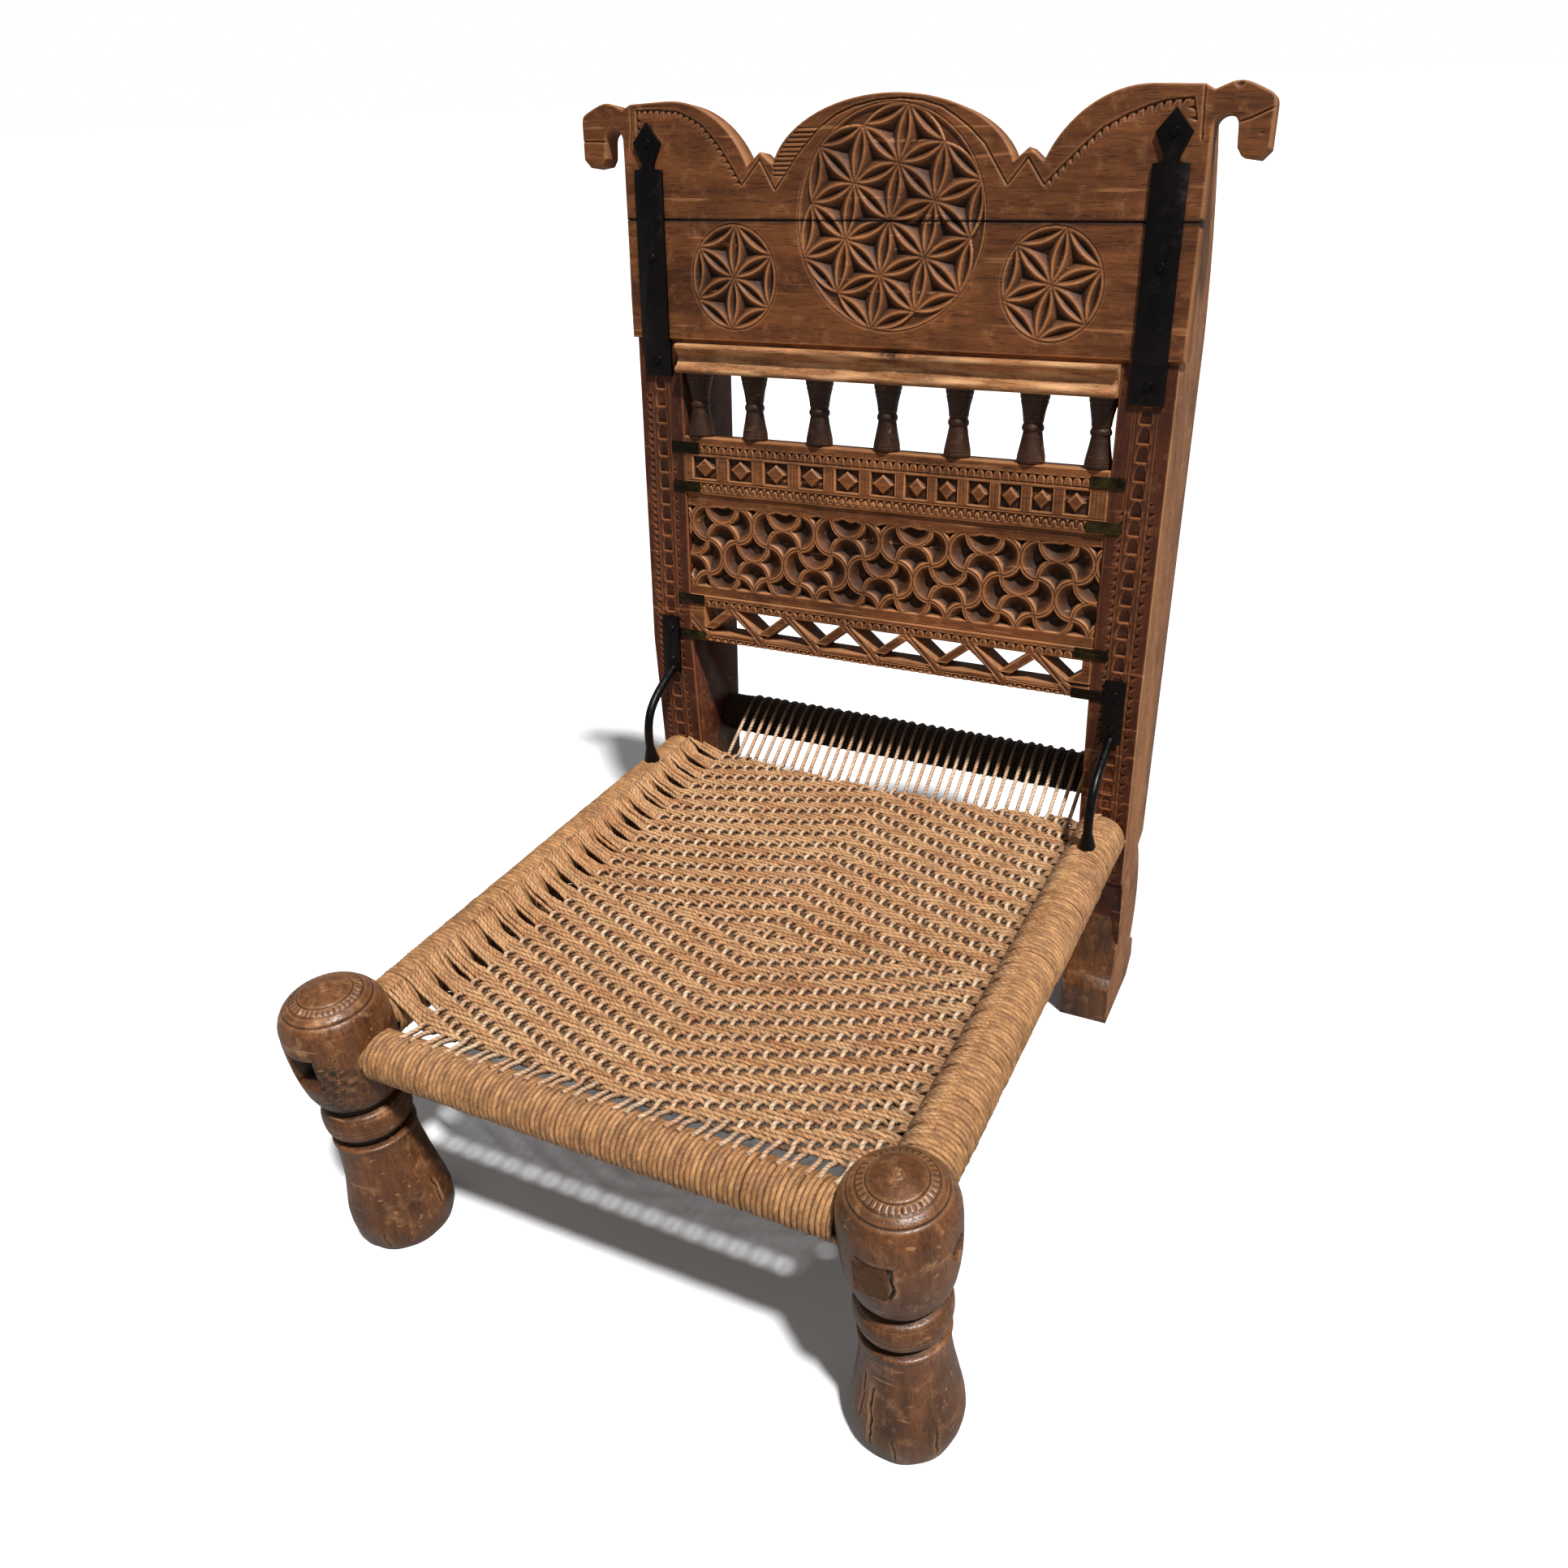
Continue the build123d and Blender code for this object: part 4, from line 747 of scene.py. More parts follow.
def lattice_relief(x, v):
    """Round teeth above and below a pierced zigzag; every second bar is ridged twice."""
    height = scallops(x, 406.5 - v, pitch=9.5, height=6.8, depth=2.0, shift=2.0)
    teeth = arcs(x, v - 361.2, pitch=9.5, wide=3.8, tall=5.4, steep=3)
    height = np.minimum(height, np.where((v > 360.0) & (v < 367.0), teeth, 0))
    for line, width, depth in ((399.3, 1.4, 0.9), (367.8, 1.5, 1.2)):
        height = np.minimum(height, groove(v - line, width, depth))
    edge = 373.0 - 1.4 * np.sin(x / 21.0) - v
    beside = (edge < 3.0) & (v < 376) & (v > 368)
    height = np.where(beside, np.minimum(height, -(3 - edge) * 0.7), height)
    for i in range(0, LATTICE_BARS, 2):
        foot = LATTICE_START + i * LATTICE_HALF
        bar = (foot - LATTICE_HALF, LATTICE_HIGH + 3), (foot + 1.0, LATTICE_LOW - 5)
        run, side, _, _ = along_line(x, v, bar)
        ridge = groove(side, width=2.2, depth=1.5) - 0.5 * np.clip(np.abs(side) - 3.6, 0, 2)
        height = np.where((np.abs(side) < 5.6) & (run > 0.5), ridge, height)
    return height + 0.08 * ripple(x / 9, v / 4, 5.0)


LOBE = 18.0  # radius of the crescents, half the width of one figure
LOBE_DEPTH = 7.2
PANEL_ROWS = 35.0  # from one row of figures to the next
PANEL_START = (-181.0, 488.0)
PANEL_MARGINS = (421.5, 505.0)
OUTSIDE = 99.0  # stands for the distance to a lobe's edge outside of it


def crescent_relief(x, v):
    """Net of double-axe figures: grooved ribbons round deep lobes with slanting sides."""
    width, tall = 4 * LOBE, 2 * PANEL_ROWS
    waver = 0.6 * ripple(x / 31, v / 31, 7.0)
    x, v = x + waver, v + 0.6 * ripple(x / 27, v / 29, 8.0)

    def lobe(centre_x, centre_v, dir_x, dir_v):
        """Depth of one lobe, which points from its figure's middle, and room to its edge."""
        dx = (x - centre_x + width / 2) % width - width / 2
        dv = (v - centre_v + tall / 2) % tall - tall / 2
        ahead = dx * dir_x + dv * dir_v
        aside = -dx * dir_v + dv * dir_x
        round_end = LOBE - np.hypot(np.clip(ahead - LOBE, 0, None), aside)
        waist = np.hypot(ahead, np.abs(aside) - LOBE) - LOBE
        inside = (ahead > 0) & (round_end > 0) & (waist > 0)
        end_depth = np.clip(round_end - 1.9, 0, None) * 0.72
        waist_depth = np.clip(waist - 1.7, 0, None) * 1.7
        depth = np.where(inside, np.minimum(end_depth, waist_depth), 0)
        return depth, np.where(inside, np.minimum(round_end, waist), OUTSIDE)

    pit = np.zeros(x.shape)
    ribbon = np.full(x.shape, OUTSIDE)
    for column, row in ((0, 0), (0, 1), (1, 0), (1, 1)):
        middle_x = PANEL_START[0] + column * 2 * LOBE
        middle_v = PANEL_START[1] + row * PANEL_ROWS
        for sign in (-1, 1):
            way = (sign, 0) if column == row else (0, sign)
            depth, room = lobe(middle_x, middle_v, *way)
            pit = np.maximum(pit, depth)
            ribbon = np.minimum(ribbon, room)
    low, high = PANEL_MARGINS
    rough = 0.7 * np.sin(x / 4.1) + 0.5 * np.sin(x / 2.3 + 1)
    margin = np.clip(np.minimum(high + rough - v, v - low), 0, None)
    pit = np.minimum(np.minimum(pit, LOBE_DEPTH), margin * 2.2)
    line = groove(ribbon, width=1.5, depth=1.0) * (margin > 0)
    height = -pit + np.where(pit < 0.1, line, 0)
    return height + 0.12 * ripple(x / 6, v / 4, 6.0)


STILE_LINES = (15.0, 17.5, 34.2, 37.2)  # grooves, from a stile's inner edge
GOUGE_MIDDLE, GOUGE_HALF, GOUGE_TOP = 26.0, 5.2, 632  # of the thumb gouges between them
GOUGE_PITCH = {-1: 16.3, 1: 15.8}  # by side: -1 is left, 1 is right
NOTCH_PITCH = {-1: (10.0, 7.1), 1: (8.4, 10.0)}  # of the small notches and the wide ones
NOTCH_TOP = {-1: (540, 612), 1: (540, 548)}  # v at which those rows end


def stile_relief(side):
    """Three bands down a stile: small chips, thumb gouges and triangular notches."""
    pitch = GOUGE_PITCH[side]
    small, wide = NOTCH_PITCH[side]
    small_top, wide_top = NOTCH_TOP[side]

    def relief(x, v):
        inner = np.abs(x) - HALF_INNER
        height = np.zeros(x.shape)
        for line in STILE_LINES:
            height = np.minimum(height, groove(inner - line, width=1.2, depth=0.8))
        part = (v + 3.0) / pitch - np.floor((v + 3.0) / pitch)
        away = np.abs(inner - GOUGE_MIDDLE) / GOUGE_HALF
        arch = np.sqrt(np.clip(1 - away**2, 0, 1))
        inside = (part < 0.30 + 0.62 * arch) & (part > 0.06) & (away < 1) & (v < GOUGE_TOP)
        gouge = -2.3 * (1 - part) ** 0.8 * arch**0.5
        height = np.where(inside, np.minimum(height, gouge), height)
        notch = chips(v, 14.3 - inner, small, length=6.2, width=5.6, depth=1.7, lean=0.5)
        height = np.minimum(height, np.where((v < small_top) & (inner > 8.0), notch, 0))
        notch = chips(v, inner - 38.0, wide, length=6.5, width=6.6, depth=1.7, shift=2.0, lean=-0.4)
        height = np.minimum(height, np.where(v < wide_top, notch, 0))
        return height + 0.10 * ripple(x / 5, v / 14, 9.0 + side)

    return relief


# ---- finishes ------------------------------------------------------------------------------
def node_group(name, inputs, outputs):
    """An empty shader group that puts out values, its input node and its output node."""
    group = bpy.data.node_groups.new(name, "ShaderNodeTree")
    for label, kind, value in inputs:
        socket = group.interface.new_socket(label, in_out="INPUT", socket_type=kind)
        socket.default_value = value
    for label in outputs:
        group.interface.new_socket(label, in_out="OUTPUT", socket_type="NodeSocketFloat")
    return group, group.nodes.new("NodeGroupInput"), group.nodes.new("NodeGroupOutput")


class Bench:
    """Short ways to add nodes to one tree and wire them up."""

    def __init__(self, tree):
        self.nodes, self.links = tree.nodes, tree.links

    def add(self, kind, inputs=None, **settings):
        """A new node with its settings, its inputs linked or set."""
        node = self.nodes.new(kind)
        for key, value in settings.items():
            setattr(node, key, value)
        for key, value in (inputs or {}).items():
            self.feed(node.inputs[key], value)
        return node

    def feed(self, socket, value):
        """Link a socket to another, or set its value."""
        if isinstance(value, bpy.types.NodeSocket):
            self.links.new(value, socket)
        else:
            socket.default_value = value

    def math(self, operation, a, b=0.0, clamp=False):
        """The result of a sum on one or two values."""
        node = self.add("ShaderNodeMath", {0: a, 1: b}, operation=operation, use_clamp=clamp)
        return node.outputs[0]

    def vector(self, operation, inputs):
        """The result of a sum on vectors."""
        return self.add("ShaderNodeVectorMath", inputs, operation=operation).outputs[0]

    def joined(self, x, y, z=0.0):
        """Three values as a place."""
        return self.add("ShaderNodeCombineXYZ", {0: x, 1: y, 2: z}).outputs[0]

    def mask(self, label):
        """The values that a piece keeps on its vertices under a label."""
        return self.add("ShaderNodeAttribute", attribute_name=label).outputs["Fac"]

    def noise(self, place, scale, detail, roughness=0.5, distortion=0.0):
        """Uneven values of about 0.5, finer with a higher scale."""
        node = self.add("ShaderNodeTexNoise", {
            "Vector": place, "Scale": scale, "Detail": detail, "Roughness": roughness,
            "Distortion": distortion,
        })
        return node.outputs[0]

    def mix(self, share, a, b):
        """Colour a with a share of colour b laid over it."""
        node = self.add("ShaderNodeMix", {0: share, 6: a, 7: b}, data_type="RGBA")
        return node.outputs[2]

    def between(self, value, low, high, to_low=0.0, to_high=1.0):
        """The value's place between low and high, held inside them."""
        node = self.add(
            "ShaderNodeMapRange",
            {"Value": value, "From Min": low, "From Max": high,
             "To Min": to_low, "To Max": to_high},
        )
        return node.outputs[0]


def rgba(colour):
    """A colour written as sRGB from 0 to 255, as linear RGBA."""
    linear = [((c / 255 + 0.055) / 1.055) ** 2.4 if c > 10 else c / 255 / 12.92 for c in colour]
    return (*linear, 1.0)


def grain_group():
    """Wood grain along one axis: streak shade, pores and a height for the bump."""
    group, given, out = node_group(
        "Wood grain",
        [
            ("Stretch", "NodeSocketVector", (1.0, 1.0, 1.0)),
            ("Fineness", "NodeSocketFloat", 1.0),
        ],
        ("Streaks", "Pores", "Height"),
    )
    b = Bench(group)
    place = b.add("ShaderNodeTexCoord").outputs["Object"]
    stretched = b.vector("MULTIPLY", {0: place, 1: given.outputs["Stretch"]})
    fine = b.vector("SCALE", {0: stretched, "Scale": given.outputs["Fineness"]})
    broad = b.noise(fine, 26.0, 4.0, 0.6, distortion=0.6)
    thin = b.noise(fine, 150.0, 3.0, 0.65)
    pore = b.noise(fine, 420.0, 2.0)
    streaks = b.math("ADD", b.math("MULTIPLY", broad, 0.6), b.math("MULTIPLY", thin, 0.4))
    pores = b.between(pore, 0.56, 0.72)
    lift = b.math("SUBTRACT", b.math("MULTIPLY", thin, 0.6), b.math("MULTIPLY", pores, 0.4))
    b.feed(out.inputs["Streaks"], b.between(streaks, 0.34, 0.66))
    b.feed(out.inputs["Pores"], pores)
    b.feed(out.inputs["Height"], lift)
    return group


def patina_group():
    """Age on a surface: blotches of grime and of rubbed wood, and small dents and scratches."""
    group, given, out = node_group(
        "Patina",
        [("Size", "NodeSocketFloat", 1.0)],
        ("Grime", "Rubbed", "Dents", "Scratches"),
    )
    b = Bench(group)
    place = b.add("ShaderNodeTexCoord").outputs["Object"]
    sized = b.vector("SCALE", {0: place, "Scale": given.outputs["Size"]})
    broad = b.noise(sized, 14.0, 6.0, 0.62)
    spots = b.noise(sized, 60.0, 5.0, 0.7)
    dents = b.add("ShaderNodeTexVoronoi", {"Vector": sized, "Scale": 95.0}, feature="SMOOTH_F1")
    slanted = b.add("ShaderNodeMapping", {
        "Vector": sized, "Rotation": (0.5, 0.9, 0.35), "Scale": (9.0, 190.0, 190.0),
    })
    lines = b.noise(slanted.outputs[0], 1.0, 1.0)
    b.feed(out.inputs["Grime"], b.between(broad, 0.48, 0.68))
    b.feed(out.inputs["Rubbed"], b.between(spots, 0.54, 0.70))
    b.feed(out.inputs["Dents"], dents.outputs[0])
    b.feed(out.inputs["Scratches"], b.between(lines, 0.68, 0.74))
    return group


def twist_group():
    """Two-ply twist of a strand, from its UV run in millimetres and its part of a turn.

    Lay is the length of one turn of the plies. It puts out the plies' height, the fibres, the
    strand's own tone, a mask for painted shade down its sides and streaks along it."""
    group, given, out = node_group(
        "Twine twist",
        [("Lay", "NodeSocketFloat", 9.0)],
        ("Ply", "Fibre", "Shade", "Side shade", "Streak"),
    )
    b = Bench(group)
    uv = b.add("ShaderNodeUVMap", uv_map="Along").outputs[0]
    split = b.add("ShaderNodeSeparateXYZ", {0: uv})
    run, round_it = split.outputs[0], split.outputs[1]
    turns = b.math("DIVIDE", run, given.outputs["Lay"])
    own = b.mask("strand")
    stretch = b.joined(b.math("DIVIDE", turns, 9.0), b.math("MULTIPLY", own, 70.0))
    slip = b.math("MULTIPLY", b.noise(stretch, 1.0, 1.0), 5.0)  # the twist is uneven
    reach = b.joined(
        b.math("MULTIPLY", run, 0.09),
        b.math("MULTIPLY", own, 90.0),
        b.math("MULTIPLY", round_it, 2.0),
    )
    streak = b.noise(reach, 1.0, 2.0)
    phase = b.math("ADD", b.math("ADD", turns, slip), round_it)
    wave = b.math("SINE", b.math("MULTIPLY", phase, 2 * math.pi))
    ply = b.math("POWER", b.math("ABSOLUTE", wave), 0.6)
    from_top = b.math("ABSOLUTE", b.math("SUBTRACT", round_it, 0.25))
    gap = b.between(from_top, 0.11, 0.27)
    along = b.joined(b.math("MULTIPLY", phase, 26.0), b.math("MULTIPLY", run, 0.35))
    fibre = b.noise(along, 1.0, 3.0, 0.7)
    place = b.add("ShaderNodeTexCoord").outputs["Object"]
    drift = b.noise(place, 17.0, 3.0)
    shade = b.math("ADD", b.math("MULTIPLY", own, 0.45), b.math("MULTIPLY", drift, 0.55))
    for label, value in (
        ("Ply", ply), ("Fibre", fibre), ("Shade", shade), ("Side shade", gap), ("Streak", streak),
    ):
        b.feed(out.inputs[label], value)
    return group


# how the grain's pattern is scaled, least along its run
ACROSS, UPRIGHT, END_ON = (0.12, 1.0, 1.0), (1.0, 1.0, 0.12), (1.0, 0.3, 1.0)
OILED = 0.32  # gloss of plain oiled wood

# dark, middle, light and dirt with painted shade as sRGB, then grain, roughness, relief, fineness
# and gloss
WOODS = {
    "Carved wood": (
        (76, 38, 15), (136, 80, 40), (206, 142, 92), (12, 6, 3), ACROSS, 0.5, 0.35, 1.5, OILED,
    ),
    "Stile wood": (
        (48, 20, 8), (92, 43, 17), (178, 112, 66), (12, 5, 2), UPRIGHT, 0.5, 0.35, 1.5, OILED,
    ),
    # paler wood on the stiles' outer sides, lighter still as painted sunlight
    "Pale sunlit side wood": (
        (116, 68, 36), (168, 114, 70), (216, 164, 116), (36, 18, 9), UPRIGHT, 0.55, 0.5, 1.5,
        OILED,
    ),
    "Tenon wood": (
        (58, 34, 18), (104, 68, 43), (156, 110, 76), (12, 6, 3), END_ON, 0.7, 0.8, 1.5, OILED,
    ),
    "Leg wood": (
        (72, 38, 16), (128, 80, 44), (206, 152, 104), (12, 6, 3), UPRIGHT, 0.3, 0.34, 1.5, 0.5,
    ),
    "Moulding wood": (
        (122, 74, 40), (196, 138, 90), (232, 182, 132), (24, 12, 6), ACROSS, 0.55, 0.7, 2.6,
        OILED,
    ),
    # dark wood, made darker still as painted shade for the moulding's shadow
    "Spindle wood": (
        (34, 17, 8), (64, 35, 18), (150, 98, 60), (12, 6, 3), UPRIGHT, 0.42, 0.35, 1.5, OILED,
    ),
}
# dark, middle and light, then how dark the painted shade is down the sides and between the plies,
# and sheen, which also strengthens the painted sheen of lighter streaks
TWINES = {
    "Rail twine": ((50, 25, 9), (138, 82, 38), (232, 172, 110), 0.85, 0.2, 1.0),
    "Weft twine": ((42, 20, 7), (196, 128, 76), (240, 188, 134), 0.76, 0.46, 0.5),
    "Warp twine": ((52, 27, 14), (232, 166, 120), (255, 222, 184), 0.72, 0.55, 0.3),
    # painted shadow: the back rail's twine is made dark for the boards' shadow on it
    "Dark twine": ((8, 5, 3), (40, 29, 20), (76, 56, 40), 0.9, 0.8, 0.0),
}
# dark, middle and rust or tarnish, then metallic, roughness and gloss
METALS = {
    "Forged iron": ((3, 1, 1), (15, 7, 6), (26, 12, 8), 0.0, 0.36, 0.22),
    "Old brass": ((34, 28, 16), (84, 70, 38), (26, 24, 16), 0.85, 0.38, 0.5),
}


def tinted(tones, middle):
    """The tones of a finish as linear colours, all shifted as its middle one was."""
    shift = [new / old for new, old in zip(middle, rgba(tones[1]))]
    return [(*(tone * by for tone, by in zip(rgba(tone), shift)), 1.0) for tone in tones]


def blank(name):
    """A new material's bench and main shader."""
    material = bpy.data.materials.new(name)
    material.use_nodes = True
    return Bench(material.node_tree), material.node_tree.nodes["Principled BSDF"]


def coat(b, shader, tone, rough, gloss, height, strength, distance):
    """Wire up a shader's colour, roughness and bump, and set its gloss."""
    bump = b.add("ShaderNodeBump", {
        "Strength": strength, "Distance": distance, "Height": height,
    })
    b.feed(shader.inputs["Base Color"], tone)
    b.feed(shader.inputs["Roughness"], rough)
    b.feed(shader.inputs["Normal"], bump.outputs[0])
    shader.inputs["Specular IOR Level"].default_value = gloss


def wood(name, groups, colour):
    """Old oiled wood with its grain along the axis that is stretched least."""
    *tones, stretch, roughness, relief, fineness, gloss = WOODS[name]
    dark, middle, light, dirt_and_shade = tinted(tones, colour)
    b, shader = blank(name)
    grain = b.add("ShaderNodeGroup", node_tree=groups["grain"])
    grain.inputs["Stretch"].default_value = stretch
    grain.inputs["Fineness"].default_value = fineness
    age = b.add("ShaderNodeGroup", node_tree=groups["patina"])
    handled = gloss / OILED  # wood that shines more is also rubbed and grimed more
    tone = b.mix(grain.outputs["Streaks"], dark, middle)
    tone = b.mix(b.math("MULTIPLY", age.outputs["Rubbed"], 0.26 * handled), tone, light)
    tone = b.mix(b.math("MULTIPLY", grain.outputs["Pores"], 0.55), tone, dirt_and_shade)
    tone = b.mix(b.math("MULTIPLY", age.outputs["Grime"], 0.42 * handled), tone, dirt_and_shade)
    # painted shade in the cuts, grooves and seams that the hollow mask marks
    hollow, wear_and_highlight = b.mask("hollow"), b.mask("wear_and_highlight")
    tone = b.mix(b.math("MULTIPLY", hollow, 0.92), tone, dirt_and_shade)
    # ridges and edges lighter: rubbed wood with a painted highlight
    rubbed = b.math("MULTIPLY", wear_and_highlight, b.between(age.outputs["Grime"], 0.0, 1.0, 0.95, 0.5))
    tone = b.mix(b.math("MULTIPLY", rubbed, 0.75), tone, light)
    tone = b.mix(b.math("MULTIPLY", age.outputs["Scratches"], 0.35), tone, light)
    rough = b.math("ADD", roughness, b.math("MULTIPLY", grain.outputs["Streaks"], 0.14))
    rough = b.math("SUBTRACT", rough, b.math("MULTIPLY", rubbed, 0.12))
    rough = b.math("ADD", rough, b.math("MULTIPLY", hollow, 0.2), clamp=True)
    height = b.math("ADD", grain.outputs["Height"], b.math("MULTIPLY", age.outputs["Dents"], 0.5))
    height = b.math("SUBTRACT", height, b.math("MULTIPLY", age.outputs["Scratches"], 0.3))
    coat(b, shader, tone, rough, gloss, height, relief, 0.0012)


def twine(name, groups, colour, lay):
    """Twisted plant-fibre cord, with painted shade between its two plies and down its sides."""
    *tones, gap, ply, sheen = TWINES[name]
    dark, middle, light = tinted(tones, colour)
    b, shader = blank(name)
    twist = b.add("ShaderNodeGroup", node_tree=groups["twist"])
    twist.inputs["Lay"].default_value = lay * (1 + 1.6 * sheen)  # silky cord is twisted less
    fibre, streak = twist.outputs["Fibre"], twist.outputs["Streak"]
    tone = b.mix(b.between(twist.outputs["Shade"], 0.2, 0.8), middle, light)
    tone = b.mix(b.between(fibre, 0.42, 0.72, 0.0, 0.75), tone, dark)
    tone = b.mix(b.between(fibre, 0.5, 0.3, 0.0, 0.7), tone, light)
    # streaks along the cord: darker ones are uneven fibre, lighter ones, stronger on silky cord,
    # are painted sheen
    tone = b.mix(b.between(streak, 0.48, 0.72, 0.0, 0.25 + 0.15 * sheen), tone, dark)
    tone = b.mix(b.between(streak, 0.5, 0.28, 0.0, 0.2 + 0.4 * sheen), tone, light)
    # painted shade between the plies, down the strand's sides and where the low mask marks it
    tone = b.mix(b.between(twist.outputs["Ply"], 0.0, 0.8, ply, 0.0), tone, dark)
    tone = b.mix(b.math("MULTIPLY", twist.outputs["Side shade"], gap), tone, dark)
    tone = b.mix(b.math("MULTIPLY", b.mask("low"), 0.7), tone, dark)
    rough = b.between(fibre, 0.3, 0.7, 0.66 - 0.3 * sheen, 0.82 - 0.2 * sheen)
    plies = b.math("MULTIPLY", twist.outputs["Ply"], 1 - 0.6 * sheen)
    height = b.math("ADD", plies, b.math("MULTIPLY", fibre, 0.35 + 0.5 * sheen))
    coat(b, shader, tone, rough, 0.3 + 0.5 * sheen, height, 1.0, 0.0010)


def metal(name, groups, colour):
    """Forged metal with hammer dents, scale and rust or tarnish."""
    *tones, metallic, roughness, gloss = METALS[name]
    dark, middle, rust = tinted(tones, colour)
    b, shader = blank(name)
    age = b.add("ShaderNodeGroup", node_tree=groups["patina"])
    age.inputs["Size"].default_value = 1.6
    rubbed = age.outputs["Rubbed"]
    tone = b.mix(age.outputs["Grime"], dark, middle)
    tone = b.mix(b.math("MULTIPLY", rubbed, 0.5), tone, rust)
    tone = b.mix(b.math("MULTIPLY", age.outputs["Scratches"], 0.6), tone, middle)
    shader.inputs["Metallic"].default_value = metallic
    rough = b.math("ADD", roughness, b.math("MULTIPLY", rubbed, 0.25))
    height = b.math("SUBTRACT", age.outputs["Dents"], b.math("MULTIPLY", rubbed, 0.3))
    coat(b, shader, tone, rough, gloss, height, 0.5, 0.0008)


def make_finishes(colours, lay):
    """Every finish, in the colours that are set for it and with the twine's lay."""
    groups = {"grain": grain_group(), "patina": patina_group(), "twist": twist_group()}
    for name in WOODS:
        wood(name, groups, getattr(colours, setting(name)))
    for name in TWINES:
        twine(name, groups, getattr(colours, setting(name)), lay / MM)
    for name in METALS:
        metal(name, groups, getattr(colours, setting(name)))


def setting(name):
    """The name of the setting that holds a finish's colour."""
    return name.lower().replace(" ", "_")


# ---- twine: wound rails, woven seat and bare warps -----------------------------------------
TWINE = 4.4  # thickness of the cord that is wound on the rails
RAIL_END = 2.0  # the twine stops this far from a wound rail's ends


def wound_path(start, end, radius, turns, seed, step):
    """Helix of twine round the straight axis from start to end, a little uneven."""
    axis = (end - start) / np.linalg.norm(end - start)
    side = np.cross(axis, (0.0, 0.0, 1.0))
    side /= np.linalg.norm(side)
    over = np.cross(side, axis)
    t = np.linspace(0, turns, turns * 22)
    random = np.random.default_rng(seed)
    wander = np.interp(t, np.arange(turns + 2), random.normal(0, 0.06, turns + 2))
    loose = np.interp(t, np.arange(turns + 2), random.normal(0, 0.24, turns + 2))
    along = np.clip((t + wander) / turns, 0.0, 1.0)
    middle = start + (end - start) * along[:, None]
    angle = 2 * math.pi * t
    reach = radius + loose + step(middle)
    spoke = side * np.cos(angle)[:, None] + over * np.sin(angle)[:, None]
    return middle + reach[:, None] * spoke


def one_layer(at):
    """Twine that is wound on once all along its rail."""
    return 0.0


def second_layer(at):
    """Twine that was wound on again over the middle of the right rail."""
    return 0.9 * (np.clip((at[:, 1] + 20) / 3, 0, 1) - np.clip((at[:, 1] - 112) / 3, 0, 1))


def rail_wrap(word, start, end, radius, thick, seed, finish="Rail twine", step=one_layer):
    """The twine on one rail, a single cord wound on from start to end."""
    start, end = np.array(start), np.array(end)
    length = np.linalg.norm(end - start)
    turns = int(length / (TWINE + 0.05))
    path = wound_path(start, end, radius - TWINE / 2, turns, seed, step)
    axis = (end - start) / length
    middle = start + (path - start) @ axis[:, None] * axis
    piece = strand_mesh(f"wound_rail_{word}", path[None], thick, sides=7, up=(path - middle)[None])
    finish_with(piece, finish)
    stand_for(piece, "twine", f"twine_rail_{word}")


WARP_COUNT, WARP_FIRST, WARP_PITCH = 36, -186.8, 11.4
WEFT_COUNT, WEFT_PITCH = 114, 4.3
WEAVE_FRONT = -285.5
MIDDLE_WARP, MIDDLE_WEFT = 17, 53
WEAVE_EDGE = 7.5  # its edge lies this much under the rails' tops
SAG_BACK = BACK_Y + 59.0  # the curve of its sag runs from the front legs to here
LEFT_END = -RAIL_X + 9.0  # the wefts begin here, on top of the left rail
RIGHT_END = RAIL_X - 0.96 * SIDE_RADIUS  # and climb the right rail from here
RETURN_THICK = 2.1  # radius of the strands under the weave and behind it


def seat_level(sag, x, y):
    """Height of the middle of the woven seat: it hangs from its rails and sags."""
    across = 1 - np.clip(np.abs(x) / RAIL_X, 0, 1) ** 2
    middle, half = (LEG_Y + SAG_BACK) / 2, (SAG_BACK - LEG_Y) / 2
    place = (y - middle) / half
    depth = np.where(place < 0, 0.12 + 0.88 * (1 - place**2), 1 - 0.42 * place**2)
    return RAIL_Z + SIDE_RADIUS - WEAVE_EDGE - sag * across**0.8 * depth


def warp_is_up(warp, weft):
    """Five-end twill that turns at the middle warp and the middle weft."""
    return (np.abs(warp - MIDDLE_WARP) + np.abs(weft - MIDDLE_WEFT)) % 5 < 2


def hump(share):
    """0 at both ends of a stretch and 1 in its middle."""
    return np.sin(np.pi * share)


